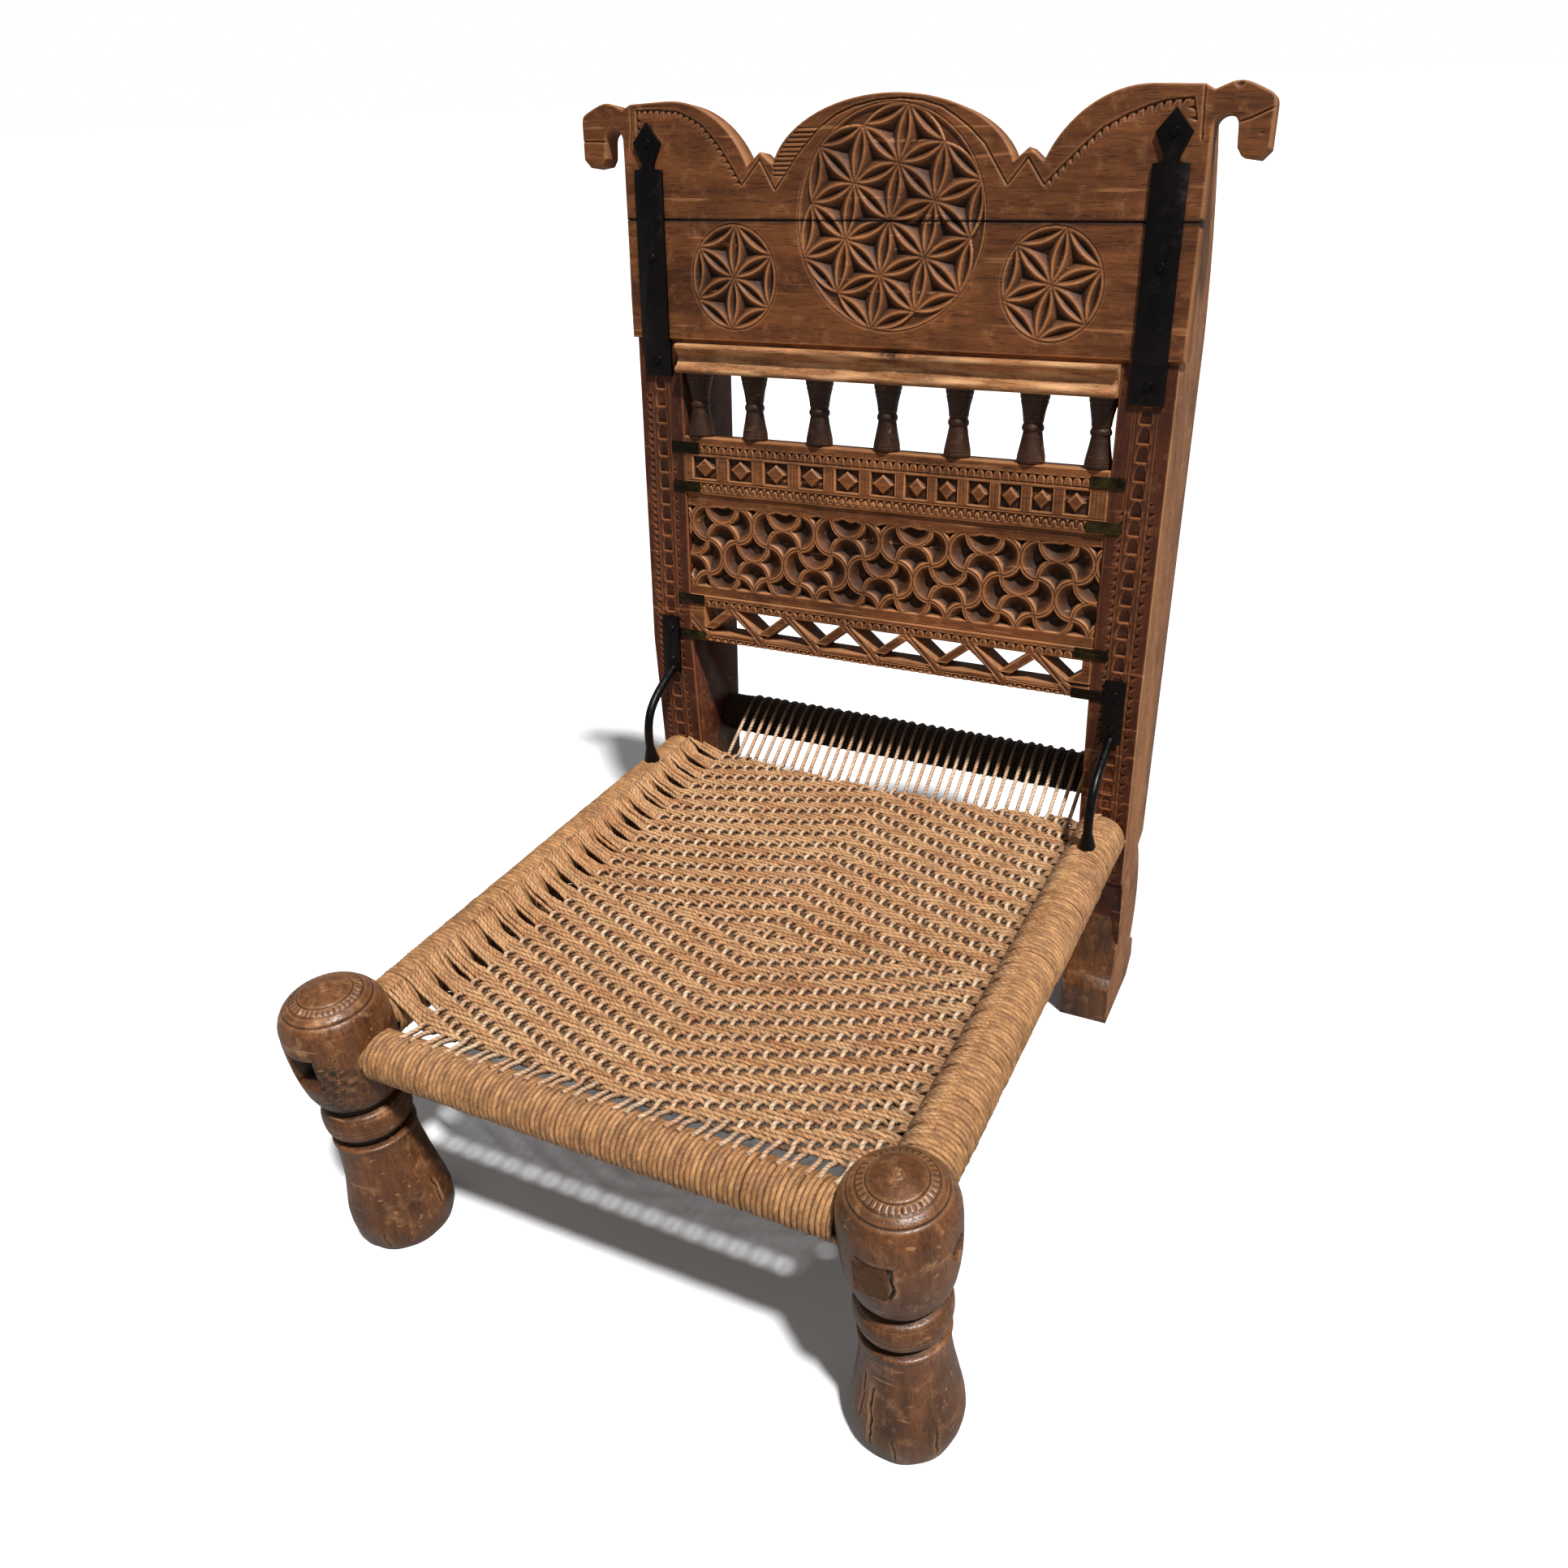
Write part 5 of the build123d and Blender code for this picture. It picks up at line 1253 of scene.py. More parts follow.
def lay_wefts(sag, thick, warp_x, weft_y, up, random):
    """Wefts: from the left rail through every warp to the right rail."""
    fan = np.linspace(LEFT_END, warp_x[0] - 6.0, 9)
    between = np.concatenate([[x + d for d in (-3.4, 0.0, 3.4)] for x in warp_x])
    climb = np.radians(np.linspace(16, 84, 9))  # up the inner side of the right rail
    sunk = np.clip((climb - climb[0]) / (climb[-1] - climb[0]), 0, 1) ** 2
    climb_reach = SIDE_RADIUS + 0.9 - 3.3 * sunk  # their ends go under the rail's own turns
    climb_x = RAIL_X - climb_reach * np.cos(climb)
    climb_z = RAIL_Z + climb_reach * np.sin(climb)
    flat = np.linspace(warp_x[-1] + 6.0, RIGHT_END, 6)[:-1]
    line_x = np.concatenate([fan, between, flat, climb_x])
    on_climb = slice(len(line_x) - len(climb), None)
    woven = slice(len(fan), len(fan) + len(between))
    lift = np.zeros((WEFT_COUNT, len(line_x)))
    bulge = np.repeat(np.where(up, -2.5, 1.6), 3, axis=1)
    lift[:, woven] = bulge * np.tile([0.82, 1.0, 0.82], WARP_COUNT)

    # five at a time are drawn together, in the fan at the left and up the right rail
    share = np.clip((line_x - LEFT_END) / (warp_x[0] - LEFT_END), 0, 1)
    right = np.clip((line_x - warp_x[-1]) / (RIGHT_END - warp_x[-1]), 0, 1)
    group = (np.arange(WEFT_COUNT) % 5)[:, None] - 2
    gather = 0.34 * hump(share) ** 0.8
    bunched = 0.32 * right
    bunched[on_climb] *= 1 - sunk
    y = weft_y[:, None] + 17.0 * (1 - share) ** 1.2 - group * WEFT_PITCH * gather
    y = y + 5.0 * right - group * WEFT_PITCH * bunched
    y = y + 4.0 * np.clip((line_x - RIGHT_END) / SIDE_RADIUS, 0, 1)
    y = y + random.normal(0, 0.18, y.shape)
    y = y + random.normal(0, 0.8, (WEFT_COUNT, 1)) * hump(share)

    z = seat_level(sag, line_x, y)
    at_left = np.clip(1 - (line_x - LEFT_END) / 16.0, 0, 1)
    at_right = np.clip(1 - (RIGHT_END - line_x) / 20.0, 0, 1) ** 1.5
    top, tucked = RAIL_Z + SIDE_RADIUS - 2.6, climb_z[0]
    z = z * (1 - at_left - at_right) + top * at_left + tucked * at_right
    z[:, on_climb] = climb_z
    z = z + lift + random.normal(0, 0.15, y.shape)
    # a slack fan strand rides over or under its neighbours in turn
    z = z + (group % 2) * 1.6 * hump(share)
    paths = np.stack([np.broadcast_to(line_x, y.shape), y, z], axis=-1)
    # painted shade where a weft dives under the warps and in the valley by the right rail
    valley = 0.75 * np.exp(-(((line_x - RIGHT_END - 1.0) / 10.0) ** 2))
    low = np.clip(np.clip(-lift / 2, 0, 1) + valley, 0, 1)
    piece = strand_mesh("seat_wefts", paths, thick, sides=6, shade_seed=21, low=low)
    finish_with(piece, "Weft twine")
    stand_for(piece, "twine", "seat_weave")


def lay_returns(sag, warp_x, weft_y, random):
    """The wefts on their way back, under the weave's edges."""
    start_y = np.arange(WEAVE_FRONT + 40, weft_y[-1] + 4, 5.6)
    run = np.linspace(0, 1, 8)
    for side, first in ((-1, warp_x[2]), (1, warp_x[-3])):
        x = side * (RAIL_X - SIDE_RADIUS * 0.8) * (1 - run) + first * run
        y = start_y[:, None] + 12.0 * run + random.normal(0, 0.7, (len(start_y), 1))
        bottom = RAIL_Z - 6.0
        end = seat_level(sag, first, y) - 6.2
        z = bottom * (1 - run) + end * run + random.normal(0, 0.3, y.shape)
        paths = np.stack([np.broadcast_to(x, y.shape), y, z], axis=-1)
        name = f"under_strands_{side_word(side)}"
        # painted shade: these strands lie in the weave's shadow
        low = np.full(y.shape, 0.85)
        piece = strand_mesh(name, paths, RETURN_THICK, shade_seed=31, low=low)
        finish_with(piece, "Weft twine")
        stand_for(piece, "twine")


def lay_warps(sag, thick, warp_x, weft_y, up, random):
    """Warps: from the front rail back through every weft."""
    front = np.linspace(LEG_Y + 4.0, WEAVE_FRONT - 3.0, 5)
    inside = np.concatenate([[y0 - 1.1, y0 + 1.1] for y0 in weft_y])
    rear = np.array([weft_y[-1] + 4.0, weft_y[-1] + 8.0])
    line_y = np.concatenate([front, inside, rear])
    woven = slice(len(front), len(front) + len(inside))
    lift = np.zeros((WARP_COUNT, len(line_y)))
    lift[:, woven] = np.repeat(np.where(up.T, 2.5, -2.2), 2, axis=1)
    lift[:, 1:-1] = (lift[:, :-2] + 2 * lift[:, 1:-1] + lift[:, 2:]) / 4
    x = warp_x[:, None] + random.normal(0, 0.22, lift.shape)
    tie = np.clip(1 - (line_y - line_y[0]) / 24.0, 0, 1)  # at the front they go in pairs
    pair = np.where(np.arange(WARP_COUNT) % 2, -1, 1)[:, None]
    x = x + pair * 1.9 * hump(tie)
    z = seat_level(sag, x, line_y)
    top = RAIL_Z + FRONT_RADIUS - 0.5
    z = z * (1 - tie) + top * tie + lift
    paths = np.stack([x, np.broadcast_to(line_y, x.shape), z], axis=-1)
    # painted shade where a warp dives under the wefts
    low = np.clip(-lift / 2, 0, 1)
    piece = strand_mesh("seat_warps", paths, thick, sides=8, shade_seed=22, low=low)
    finish_with(piece, "Warp twine")
    stand_for(piece, "twine")


def lay_bare_warps(sag, warp_x, weft_y, random):
    """Bare warps: on from the rear edge, up to the back rail and over it."""
    start_y = weft_y[-1] + 6.0
    start_z = seat_level(sag, warp_x, start_y)
    dy, dz = BACK_RAIL_Y - start_y, BACK_RAIL_Z - start_z
    reach = BACK_RADIUS + 0.6
    gap = np.hypot(dy, dz)
    rise = np.arctan2(dz, dy) + np.arcsin(reach / gap)
    straight = np.sqrt(gap**2 - reach**2)
    run = np.linspace(0, 1, 8)
    y = start_y + (straight * np.cos(rise))[:, None] * run
    z = start_z[:, None] + (straight * np.sin(rise))[:, None] * run
    sweep = np.linspace(0, 1.9, 10)[1:]  # round the back rail, in radians
    turn = rise[:, None] + math.pi / 2 - sweep
    y = np.concatenate([y, BACK_RAIL_Y + reach * np.cos(turn)], axis=1)
    z = np.concatenate([z, BACK_RAIL_Z + reach * np.sin(turn)], axis=1)
    share = np.linspace(0, 1, y.shape[1])
    x = warp_x[:, None] + random.normal(0, 1.4, (WARP_COUNT, 1)) * share**1.5
    paths = np.stack([x, y, z - 0.4 * hump(share)], axis=-1)
    # painted shade: the cords darken towards the back rail as if in the boards' shadow
    shade_and_grime = np.clip((np.arange(y.shape[1]) - 4) / 3, 0, 1) * 1.2
    low = np.broadcast_to(shade_and_grime, y.shape)
    piece = strand_mesh("rear_warp_cords", paths, RETURN_THICK, sides=8, shade_seed=23, low=low)
    finish_with(piece, "Warp twine")
    stand_for(piece, "twine", "rear_warps")


def weave_seat(settings):
    """The woven seat and the bare warps behind it."""
    sag, weft_thick, warp_thick = settings.sag / MM, settings.weft / MM, settings.warp / MM
    warps, wefts = np.arange(WARP_COUNT), np.arange(WEFT_COUNT)
    uneven = np.random.default_rng(11).normal(0, 0.35, WARP_COUNT)
    warp_x = WARP_FIRST + warps * WARP_PITCH + uneven
    weft_y = WEAVE_FRONT + wefts * WEFT_PITCH
    up = warp_is_up(warps, wefts[:, None])
    random = np.random.default_rng(5)
    lay_wefts(sag, weft_thick, warp_x, weft_y, up, random)
    lay_returns(sag, warp_x, weft_y, random)
    random = np.random.default_rng(6)
    lay_warps(sag, warp_thick, warp_x, weft_y, up, random)
    lay_bare_warps(sag, warp_x, weft_y, random)


# ---- stiles --------------------------------------------------------------------------------
FACE_BEND, FACE_FOOT, FOOT_SET_BACK = 355.0, 163.0, 16.6
FACE_TOP = 665.0
PLATE = 1.8  # thickness of the carved layer on a stile
FOOT_WORN = 118.0  # below this the feet are worn paler
BEHIND_FACE, BELOW_FACE = 19.0, 150.0  # the arrises past these are rounded


def stile_front(x, v):
    """Height w of the stile's front face, which turns steeper below the bend."""
    return -FOOT_SET_BACK * np.clip((FACE_BEND - v) / (FACE_BEND - FACE_FOOT), 0, 1) + 0 * x


def past_stile_face(place):
    """Whether a place on a stile, in millimetres, is well behind or below its carving."""
    out = -place.y + BACK_Y + BACK_SLOPE * place.z
    return out < -BEHIND_FACE - FOOT_SET_BACK or place.z < BELOW_FACE


def join(name, first, *others):
    """Make several pieces one, which keeps what the first one has."""
    pick(first)
    for other in others:
        other.select_set(True)
    bpy.ops.object.join()
    first.name = first.data.name = name
    return first


def make_stile(side, chip_depth):
    """A stile with its carved face laid on a body whose arrises are worn round."""
    word = side_word(side)
    body = node_copy(f"stile_{word}", f"stile_{word}_body")
    x, v, w = seen_on_back(places(body)).T
    face = stile_front(x, v)
    front = (np.abs(w - face) < 0.6) & (v > FACE_FOOT) & (v < FACE_TOP + 1)
    put(body, on_back(x, v, np.where(front, w - PLATE, w)))
    bevel_sharp(body, 1.6, past_stile_face)
    low = FACE_FOOT + 3.0
    inner, outer = side * HALF_INNER, side * HALF_OUTER
    loop = np.array([(inner, low), (outer, low), (outer, FACE_TOP), (inner, FACE_TOP)])
    columns = np.linspace(min(inner, outer), max(inner, outer), 68)
    rows = np.arange(low, FACE_TOP + 0.4, 0.8)
    plate = carved_plate(
        f"stile_{word}_face", [loop], columns, rows, cut_to(chip_depth, stile_relief(side)),
        stile_front, PLATE,
    )
    piece = join(f"carved_stile_{word}", plate, body)
    finish_with(piece, "Stile wood", "Pale sunlit side wood", "Leg wood")
    centres = np.empty(len(piece.data.polygons) * 3)
    piece.data.polygons.foreach_get("center", centres)
    x, _, z = centres.reshape(-1, 3).T / MM
    # outer sides take paler wood with painted sunlight, the feet take the leg wood
    kind = np.where(x * side > HALF_OUTER - 1.0, 1, np.where(z < FOOT_WORN, 2, 0))
    piece.data.polygons.foreach_set("material_index", kind.astype(np.int32))
    smooth(piece, 42)
    stand_for(piece, "carved_wood", f"stile_{word}")


# ---- stage ---------------------------------------------------------------------------------
EYE = (479.5, -787.0, 876.5)
LOOK_AZIMUTH, LOOK_ELEVATION, LOOK_ROLL = 25.522, 32.182, -2.703  # degrees
LENS, SENSOR, SHIFT = 27.32, 36.0, (-0.0645, 0.0200)


def toward(azimuth, elevation):
    """Direction that stands round to the right of the front and up from the floor."""
    return Vector((
        math.sin(azimuth) * math.cos(elevation),
        -math.cos(azimuth) * math.cos(elevation),
        math.sin(elevation),
    ))


def aim_camera():
    """The camera that looks down at the chair from its front right."""
    back = toward(math.radians(LOOK_AZIMUTH), math.radians(LOOK_ELEVATION))
    roll = math.radians(LOOK_ROLL)
    right = (-back).cross(Vector((0, 0, 1))).normalized()
    up = right.cross(-back)
    level_right = right * math.cos(roll) + up * math.sin(roll)
    level_up = -right * math.sin(roll) + up * math.cos(roll)
    turn = Matrix((level_right, level_up, back)).transposed()
    bpy.ops.object.camera_add()
    camera = bpy.context.object
    camera.name = "Viewpoint"
    camera.matrix_world = Matrix.Translation([c * MM for c in EYE]) @ turn.to_4x4()
    camera.data.sensor_width = SENSOR
    camera.data.lens = LENS
    camera.data.shift_x, camera.data.shift_y = SHIFT
    bpy.context.scene.camera = camera


WHITE = (1, 1, 1, 1)
FLOOR_SEEN, FLOOR_LIT = (0.97, 0.97, 0.97, 1), (0.30, 0.29, 0.28, 1)


def white_stage(settings):
    """A floor and a world that look white, and a sun whose shadows have soft edges."""
    bpy.ops.mesh.primitive_circle_add(vertices=96, radius=60.0, fill_type="NGON")
    floor = bpy.context.object
    floor.name = "Studio_floor"
    b, shader = blank("Pale floor")
    path = b.add("ShaderNodeLightPath")
    # seen straight it is white; light that it throws back is weaker, so hollows stay dark
    tone = b.mix(path.outputs["Is Camera Ray"], FLOOR_LIT, FLOOR_SEEN)
    b.feed(shader.inputs["Base Color"], tone)
    shader.inputs["Roughness"].default_value = 1.0
    shader.inputs["Specular IOR Level"].default_value = 0.0
    finish_with(floor, "Pale floor")

    world = bpy.data.worlds.new("Studio")
    bpy.context.scene.world = world
    world.use_nodes = True
    b = Bench(world.node_tree)
    ground = world.node_tree.nodes["Background"]
    ground.inputs["Color"].default_value = WHITE
    ground.inputs["Strength"].default_value = settings.sky_power
    bright = b.add("ShaderNodeBackground", {"Color": WHITE, "Strength": 1.0})
    path = b.add("ShaderNodeLightPath")
    both = b.add("ShaderNodeMixShader", {
        0: path.outputs["Is Camera Ray"], 1: ground.outputs[0], 2: bright.outputs[0],
    })
    b.feed(world.node_tree.nodes["World Output"].inputs["Surface"], both.outputs[0])

    bpy.ops.object.light_add(type="SUN", location=(1.0, -1.6, 3.0))
    sun = bpy.context.object
    sun.name = "Sun"
    aim = toward(settings.sun_side, settings.sun_rise)
    sun.rotation_euler = aim.to_track_quat("Z", "Y").to_euler()
    sun.data.energy = settings.sun_power
    sun.data.angle = settings.sun_blur
    bpy.context.scene.view_settings.view_transform = "Standard"


# ---- turned pieces: a profile of (height, radius) swept round, with relief -----------------
LEG_PROFILE = (
    (0, 0), (0, 36), (1.5, 38.5), (8, 41), (20, 43.4), (28, 44.2), (40, 43.4), (55, 40.8),
    (75, 37.0), (95, 34.3), (110, 33.3), (116, 33.5), (118.4, 34.8), (120.4, 34.8), (121.6, 33.2),
    (122.6, 28), (123.8, 26.4), (128, 26.4), (129.4, 30.2), (131.6, 33.6), (135, 35.4), (141, 36.2),
    (147, 36.1), (152.6, 35), (156.4, 32.4), (157.8, 28), (159, 26.4), (163.8, 26.4), (165.4, 30.4),
    (167, 33.6), (172, 36.2), (180, 38.8), (192, 41.0), (205, 42.3), (220, 43), (234, 43),
    (244, 42.3), (249, 41.2), (250.6, 40.0), (252.2, 40.2), (257, 37.4), (262, 33.0), (266, 27.4),
    (269.2, 20.4), (271.4, 13), (272.8, 6.4), (273.0, 5.0), (275.2, 4.4), (276, 2.8), (276, 0),
)
SPINDLE_PROFILE = (
    (0, 0), (0, 12.0), (1.0, 12.9), (4.5, 13.0), (10, 12.0), (17, 10.5), (23, 9.4), (26.8, 9.0),
    (27.8, 8.4), (28.8, 9.6), (31, 10.1), (33.2, 9.6), (34.2, 8.5), (35.4, 9.1), (40, 9.6),
    (47, 10.8), (52.5, 12.2), (54, 12.6), (54.9, 12.0), (56, 13.0), (61.2, 13.8), (61.2, 0),
)


def even_profile(profile, step):
    """Height and radius at even steps along a profile, its corners a little softened."""
    z, r = np.array(profile, float).T
    run = np.concatenate([[0], np.cumsum(np.hypot(np.diff(z), np.diff(r)))])
    at = np.linspace(0, run[-1], int(run[-1] / step))
    z, r = np.interp(at, run, z), np.interp(at, run, r)
    for line in (z, r):
        line[1:-1] = (line[:-2] + 2 * line[1:-1] + line[2:]) / 4
    return z, np.maximum(r, 0)


def turned(name, profile, step, sides, relief):
    """A turned form about the z axis, whose relief(angle, z, r) also gives its masks."""
    z, r = even_profile(profile, step)
    deselect()
    bpy.ops.mesh.primitive_grid_add(x_subdivisions=sides, y_subdivisions=len(z) - 1, size=2)
    piece = bpy.context.object
    angle, height = np.meshgrid(np.linspace(0, 2 * math.pi, sides + 1), z)
    radius = np.broadcast_to(r[:, None], angle.shape)
    sunk = relief(angle, height, radius)
    sunk[:, -1] = sunk[:, 0]
    slope = np.hypot(np.gradient(r), np.gradient(z))
    out, rise = np.gradient(z) / slope, -np.gradient(r) / slope
    radius = np.maximum(radius + sunk * out[:, None], 0)
    height = np.clip(height + sunk * rise[:, None], profile[0][0], profile[-1][0])
    radius[0] = radius[-1] = 0.0
    points = np.stack([radius * np.sin(angle), -radius * np.cos(angle), height], axis=-1)
    put(piece, points.reshape(-1, 3) * MM)
    soft = blurred(sunk, 5)
    # painted shade in the lathe lines, cracks and dents; raised parts lighter as rubbed wood with a
    # painted highlight
    pit = np.clip((soft - sunk) * 1.1, 0, 1) + np.clip(-sunk / 3.0, 0, 1) * 0.6
    write_mask(piece, "wear_and_highlight", np.clip(np.clip(sunk - soft, 0, 1) * 1.3, 0, 1))
    write_mask(piece, "hollow", np.clip(pit, 0, 1))
    turn_faces_out(piece, weld=True)
    piece.name = piece.data.name = name
    smooth(piece, 60)
    return piece


def turned_away(angle, middle):
    """Signed angle from a direction, between -pi and pi."""
    return (angle - middle + math.pi) % (2 * math.pi) - math.pi


DOME = 251.0  # above this height is the dome of a leg
RING_RADII = (21.5, 28.4, 34.8)
DASH_RING, DASHES, DASH_PITCH = (22.9, 27.2), 36, 4.36
LEG_LINES = (119.6, 133.2, 141.5, 154.0, 168.4)  # heights of the fine lines
COLLAR_GROOVES = ((125.9, 3.4), (161.5, 3.6))  # height and half width of the painted shade in the collar grooves
LEG_CRACKS = {  # side: (degrees from the front, low z, high z, width, depth)
    -1: ((100.0, 30.0, 62.0, 1.6, 2.6), (78.0, 52.0, 58.0, 2.6, 2.0), (22.0, 4.0, 30.0, 1.2, 1.4)),
    1: (
        (-18.0, 18.0, 84.0, 1.5, 2.4), (-34.0, 40.0, 92.0, 1.2, 1.8),
        (16.5, 196.0, 226.0, 2.2, 2.8), (8.0, 6.0, 40.0, 1.1, 1.5), (52.0, 10.0, 46.0, 1.2, 1.6),
    ),
}
PITTED = (176, 236)  # heights between which worms have eaten the left leg
PITTED_SIDE, PITTED_REACH = math.radians(31), 0.33  # where they did so round it, in radians
POCKET = (13.0, 16.0)  # half the width and the height of the pocket for a rail's tenon
POCKET_ROOM = {-1: 0.5, 1: 2.2}  # the pocket's floor lies this far behind the tenon's end
PEG_HOLE = (8.0, 9.5, 4.5)  # half its width and height, and how far it stands in from the peg


def leg_relief(side):
    """Lathe lines, dome rings and dashes, hewn facets, cracks and worm holes."""

    def relief(angle, z, r):
        on_dome, outer = z > DOME, r > 20
        sunk = 0.16 * ripple(angle * 7, z / 7, 2.0 + side)
        foot = np.clip((112 - z) / 60, 0, 1) * outer
        facet = np.cos((angle * 9 + 0.9 * np.sin(z / 17 + side)) % (2 * math.pi) - math.pi)
        hewn = 0.55 * (1 - facet) / 2 + 0.5 * (1 + ripple(angle * 3.4, z / 12, 5.0))
        sunk = sunk - foot * hewn
        for ring in RING_RADII:
            sunk = sunk + np.where(on_dome, groove(r - ring, width=1.7, depth=1.0), 0)
        place = angle * DASHES / (2 * math.pi)
        off = (place - np.round(place)) * DASH_PITCH
        dash = 0.9 * np.clip(1 - np.abs(off) / 1.1, 0, 1)
        sunk = sunk - np.where(on_dome & (r > DASH_RING[0]) & (r < DASH_RING[1]), dash, 0)
        cross = 0.9 * np.clip(1 - np.abs(r * np.sin(angle * 2.0)) / 0.9, 0, 1)
        sunk = sunk - np.where(on_dome & (r < 4.4), cross, 0)
        for line in LEG_LINES:
            sunk = sunk + groove(z - line, width=1.2, depth=0.45) * outer
        for start, low, high, width, depth in LEG_CRACKS[side]:
            wander = 0.05 * ripple(z / 6, z / 9, start)
            away = turned_away(angle, math.radians(start) + wander) * r
            taper = np.clip(np.minimum(z - low, high - z) / 7, 0, 1)
            sunk = sunk + groove(away, 2 * width, depth) * taper * outer
        if side < 0:
            pits = (ripple(angle * 40, z * 1.3, 9.0) > 0.55) & (z > PITTED[0]) & (z < PITTED[1])
            near = np.clip(1 - np.abs(turned_away(angle, PITTED_SIDE)) / PITTED_REACH, 0, 1)
            sunk = sunk - np.where(pits, 0.8 * np.minimum(near * 3, 1), 0)
        return sunk

    return relief


def make_leg(side):
    """A turned leg with the pocket in which its side rail's through tenon ends."""
    word = side_word(side)
    piece = turned(f"turned_leg_{word}", LEG_PROFILE, 1.0, 240, leg_relief(side))
    points = places(piece) / MM
    x, y, z = points.T  # these follow what is done to the points
    tenon_end = box_mm(f"rail_{word}")[0][1] - LEG_Y
    pocket = (np.abs(x) < POCKET[0]) & (np.abs(z - RAIL_Z) < POCKET[1]) & (y < 0)
    points[pocket, 1] = np.maximum(y[pocket], tenon_end + POCKET_ROOM[side])
    peg_low, peg_high = box_mm("leg_pegs")
    peg_z = (peg_low[2] + peg_high[2]) / 2
    half_y, half_z, sunk = PEG_HOLE
    hole = (np.hypot((y + 1.5) / half_y, (z - peg_z) / half_z) < 1) & (x * side > 20)
    points[hole, 0] = side * (peg_high[0] - LEG_X - sunk)
    put(piece, (points + np.array([side * LEG_X, LEG_Y, 0])) * MM)

    dark = read_mask(piece, "hollow")
    # painted shade inside the tenon pocket and the peg hole, and in the collar grooves
    dark[pocket | hole] = 1.0
    for height, reach in COLLAR_GROOVES:
        near = np.clip(1.6 - np.abs(z - height) / reach, 0, 1)
        dark = np.maximum(dark, near * np.clip((33.0 - np.hypot(x, y)) / 2.6, 0, 1))
    if side < 0:
        speckle = np.clip(0.5 + ripple(x / 1.6, z / 2.0, 3.0), 0, 1)
        eaten = np.clip(patch(x, z, 22, 207, 17, 26) * (y < 0) * 2.4, 0, 1) * speckle
        dark = np.maximum(dark, eaten)
    write_mask(piece, "hollow", dark)
    finish_with(piece, "Leg wood")
    stand_for(piece, "leg_wood", f"leg_front_{word}")


SPINDLE_FOOT, SPINDLE_SET = 573.3, -10.0  # up the slope, and behind the face of the rails
SPINDLE_LINES = (4.8, 25.8, 35.4, 51.0, 58.9)  # heights of the fine lines


def spindle_relief(angle, z, r):
    """Lathe lines and a little unevenness."""
    sunk = 0.14 * ripple(angle * 5, z / 5, 12.0)
    for line in SPINDLE_LINES:
        sunk = sunk + groove(z - line, width=1.1, depth=0.5)
    return sunk


def make_spindles():
    """Seven turned spindles that stand along the slope of the back."""
    for number in range(1, 8):
        low, high = box_mm(f"spindle_{number}")
        middle = (low[0] + high[0]) / 2
        piece = turned(f"turned_spindle_{number}", SPINDLE_PROFILE, 0.8, 64, spindle_relief)
        x, y, z = (places(piece) / MM).T
        wear = 1 + 0.02 * math.sin(number * 2.4)
        put(piece, on_back(middle + x * wear, SPINDLE_FOOT + z, SPINDLE_SET - y * wear))
        finish_with(piece, "Spindle wood")
        stand_for(piece, "spindle_wood", f"spindle_{number}")


# ---- moulding and metalwork ----------------------------------------------------------------
def sliced(piece, step):
    """Cut a piece across x every few millimetres, so that wear can bend its faces."""
    low, high = places(piece)[:, 0].min() / MM, places(piece)[:, 0].max() / MM
    edit = bmesh.new()
    edit.from_mesh(piece.data)
    for x in np.arange(low + step, high - step / 2, step):
        bmesh.ops.bisect_plane(
            edit, geom=edit.verts[:] + edit.edges[:] + edit.faces[:],
            plane_co=(x * MM, 0, 0), plane_no=(1, 0, 0), dist=1e-6,
        )
    edit.to_mesh(piece.data)
    edit.free()


def wear_moulding():
    """The moulding with waves, a crack and dents worn into its front."""
    piece = node_copy("moulding_rail", "worn_moulding", 1.0)
    bevel_sharp(piece, 0.7, sharpness=25.0)
    sliced(piece, 3.0)
    x, v, w = seen_on_back(places(piece)).T
    low, high = v.min(), v.max()
    front = np.clip((w - 2.0) / 3.0, 0, 1) * (np.abs(x) < HALF_INNER)
    waves = 0.45 * (1 + ripple(x / 26, v / 6, 4.0))
    dents = 0.5 * np.clip(ripple(x / 7, v / 3, 8.0), 0, 1)
    knot = patch(x, v - high, 8, -5, 16, 9)
    crack = 2.4 * knot * (0.6 + 0.4 * ripple(x / 2.2, v / 2.0, 1.0))
    chip = 1.8 * patch(x, v - low, -128, 3, 10, 5)
    put(piece, on_back(x, v, w - (waves + dents + crack + chip) * front))
    rubbed = np.clip(ripple(x / 17, v / 2.4, 6.0) + 0.1, 0, 1) * front
    # the sunk knot and its crack darker: painted shade and grime
    shade_and_grime = knot * 2.2 * (0.5 + 0.5 * ripple(x / 1.7, v / 1.6, 5.0))
    write_mask(piece, "wear_and_highlight", rubbed)
    write_mask(piece, "hollow", np.clip(shade_and_grime, 0, 1))
    finish_with(piece, "Moulding wood")
    smooth(piece, 35)
    stand_for(piece, "moulding_wood", "moulding_rail")


def forged(node, name, width, finish, slot):
    """A CAD node's form with its edges rounded as a hammer and a file leave them."""
    piece = node_copy(node, name, 1.0)
    bevel_sharp(piece, width, sharpness=30.0)
    finish_with(piece, finish)
    smooth(piece, 45)
    stand_for(piece, slot, node)


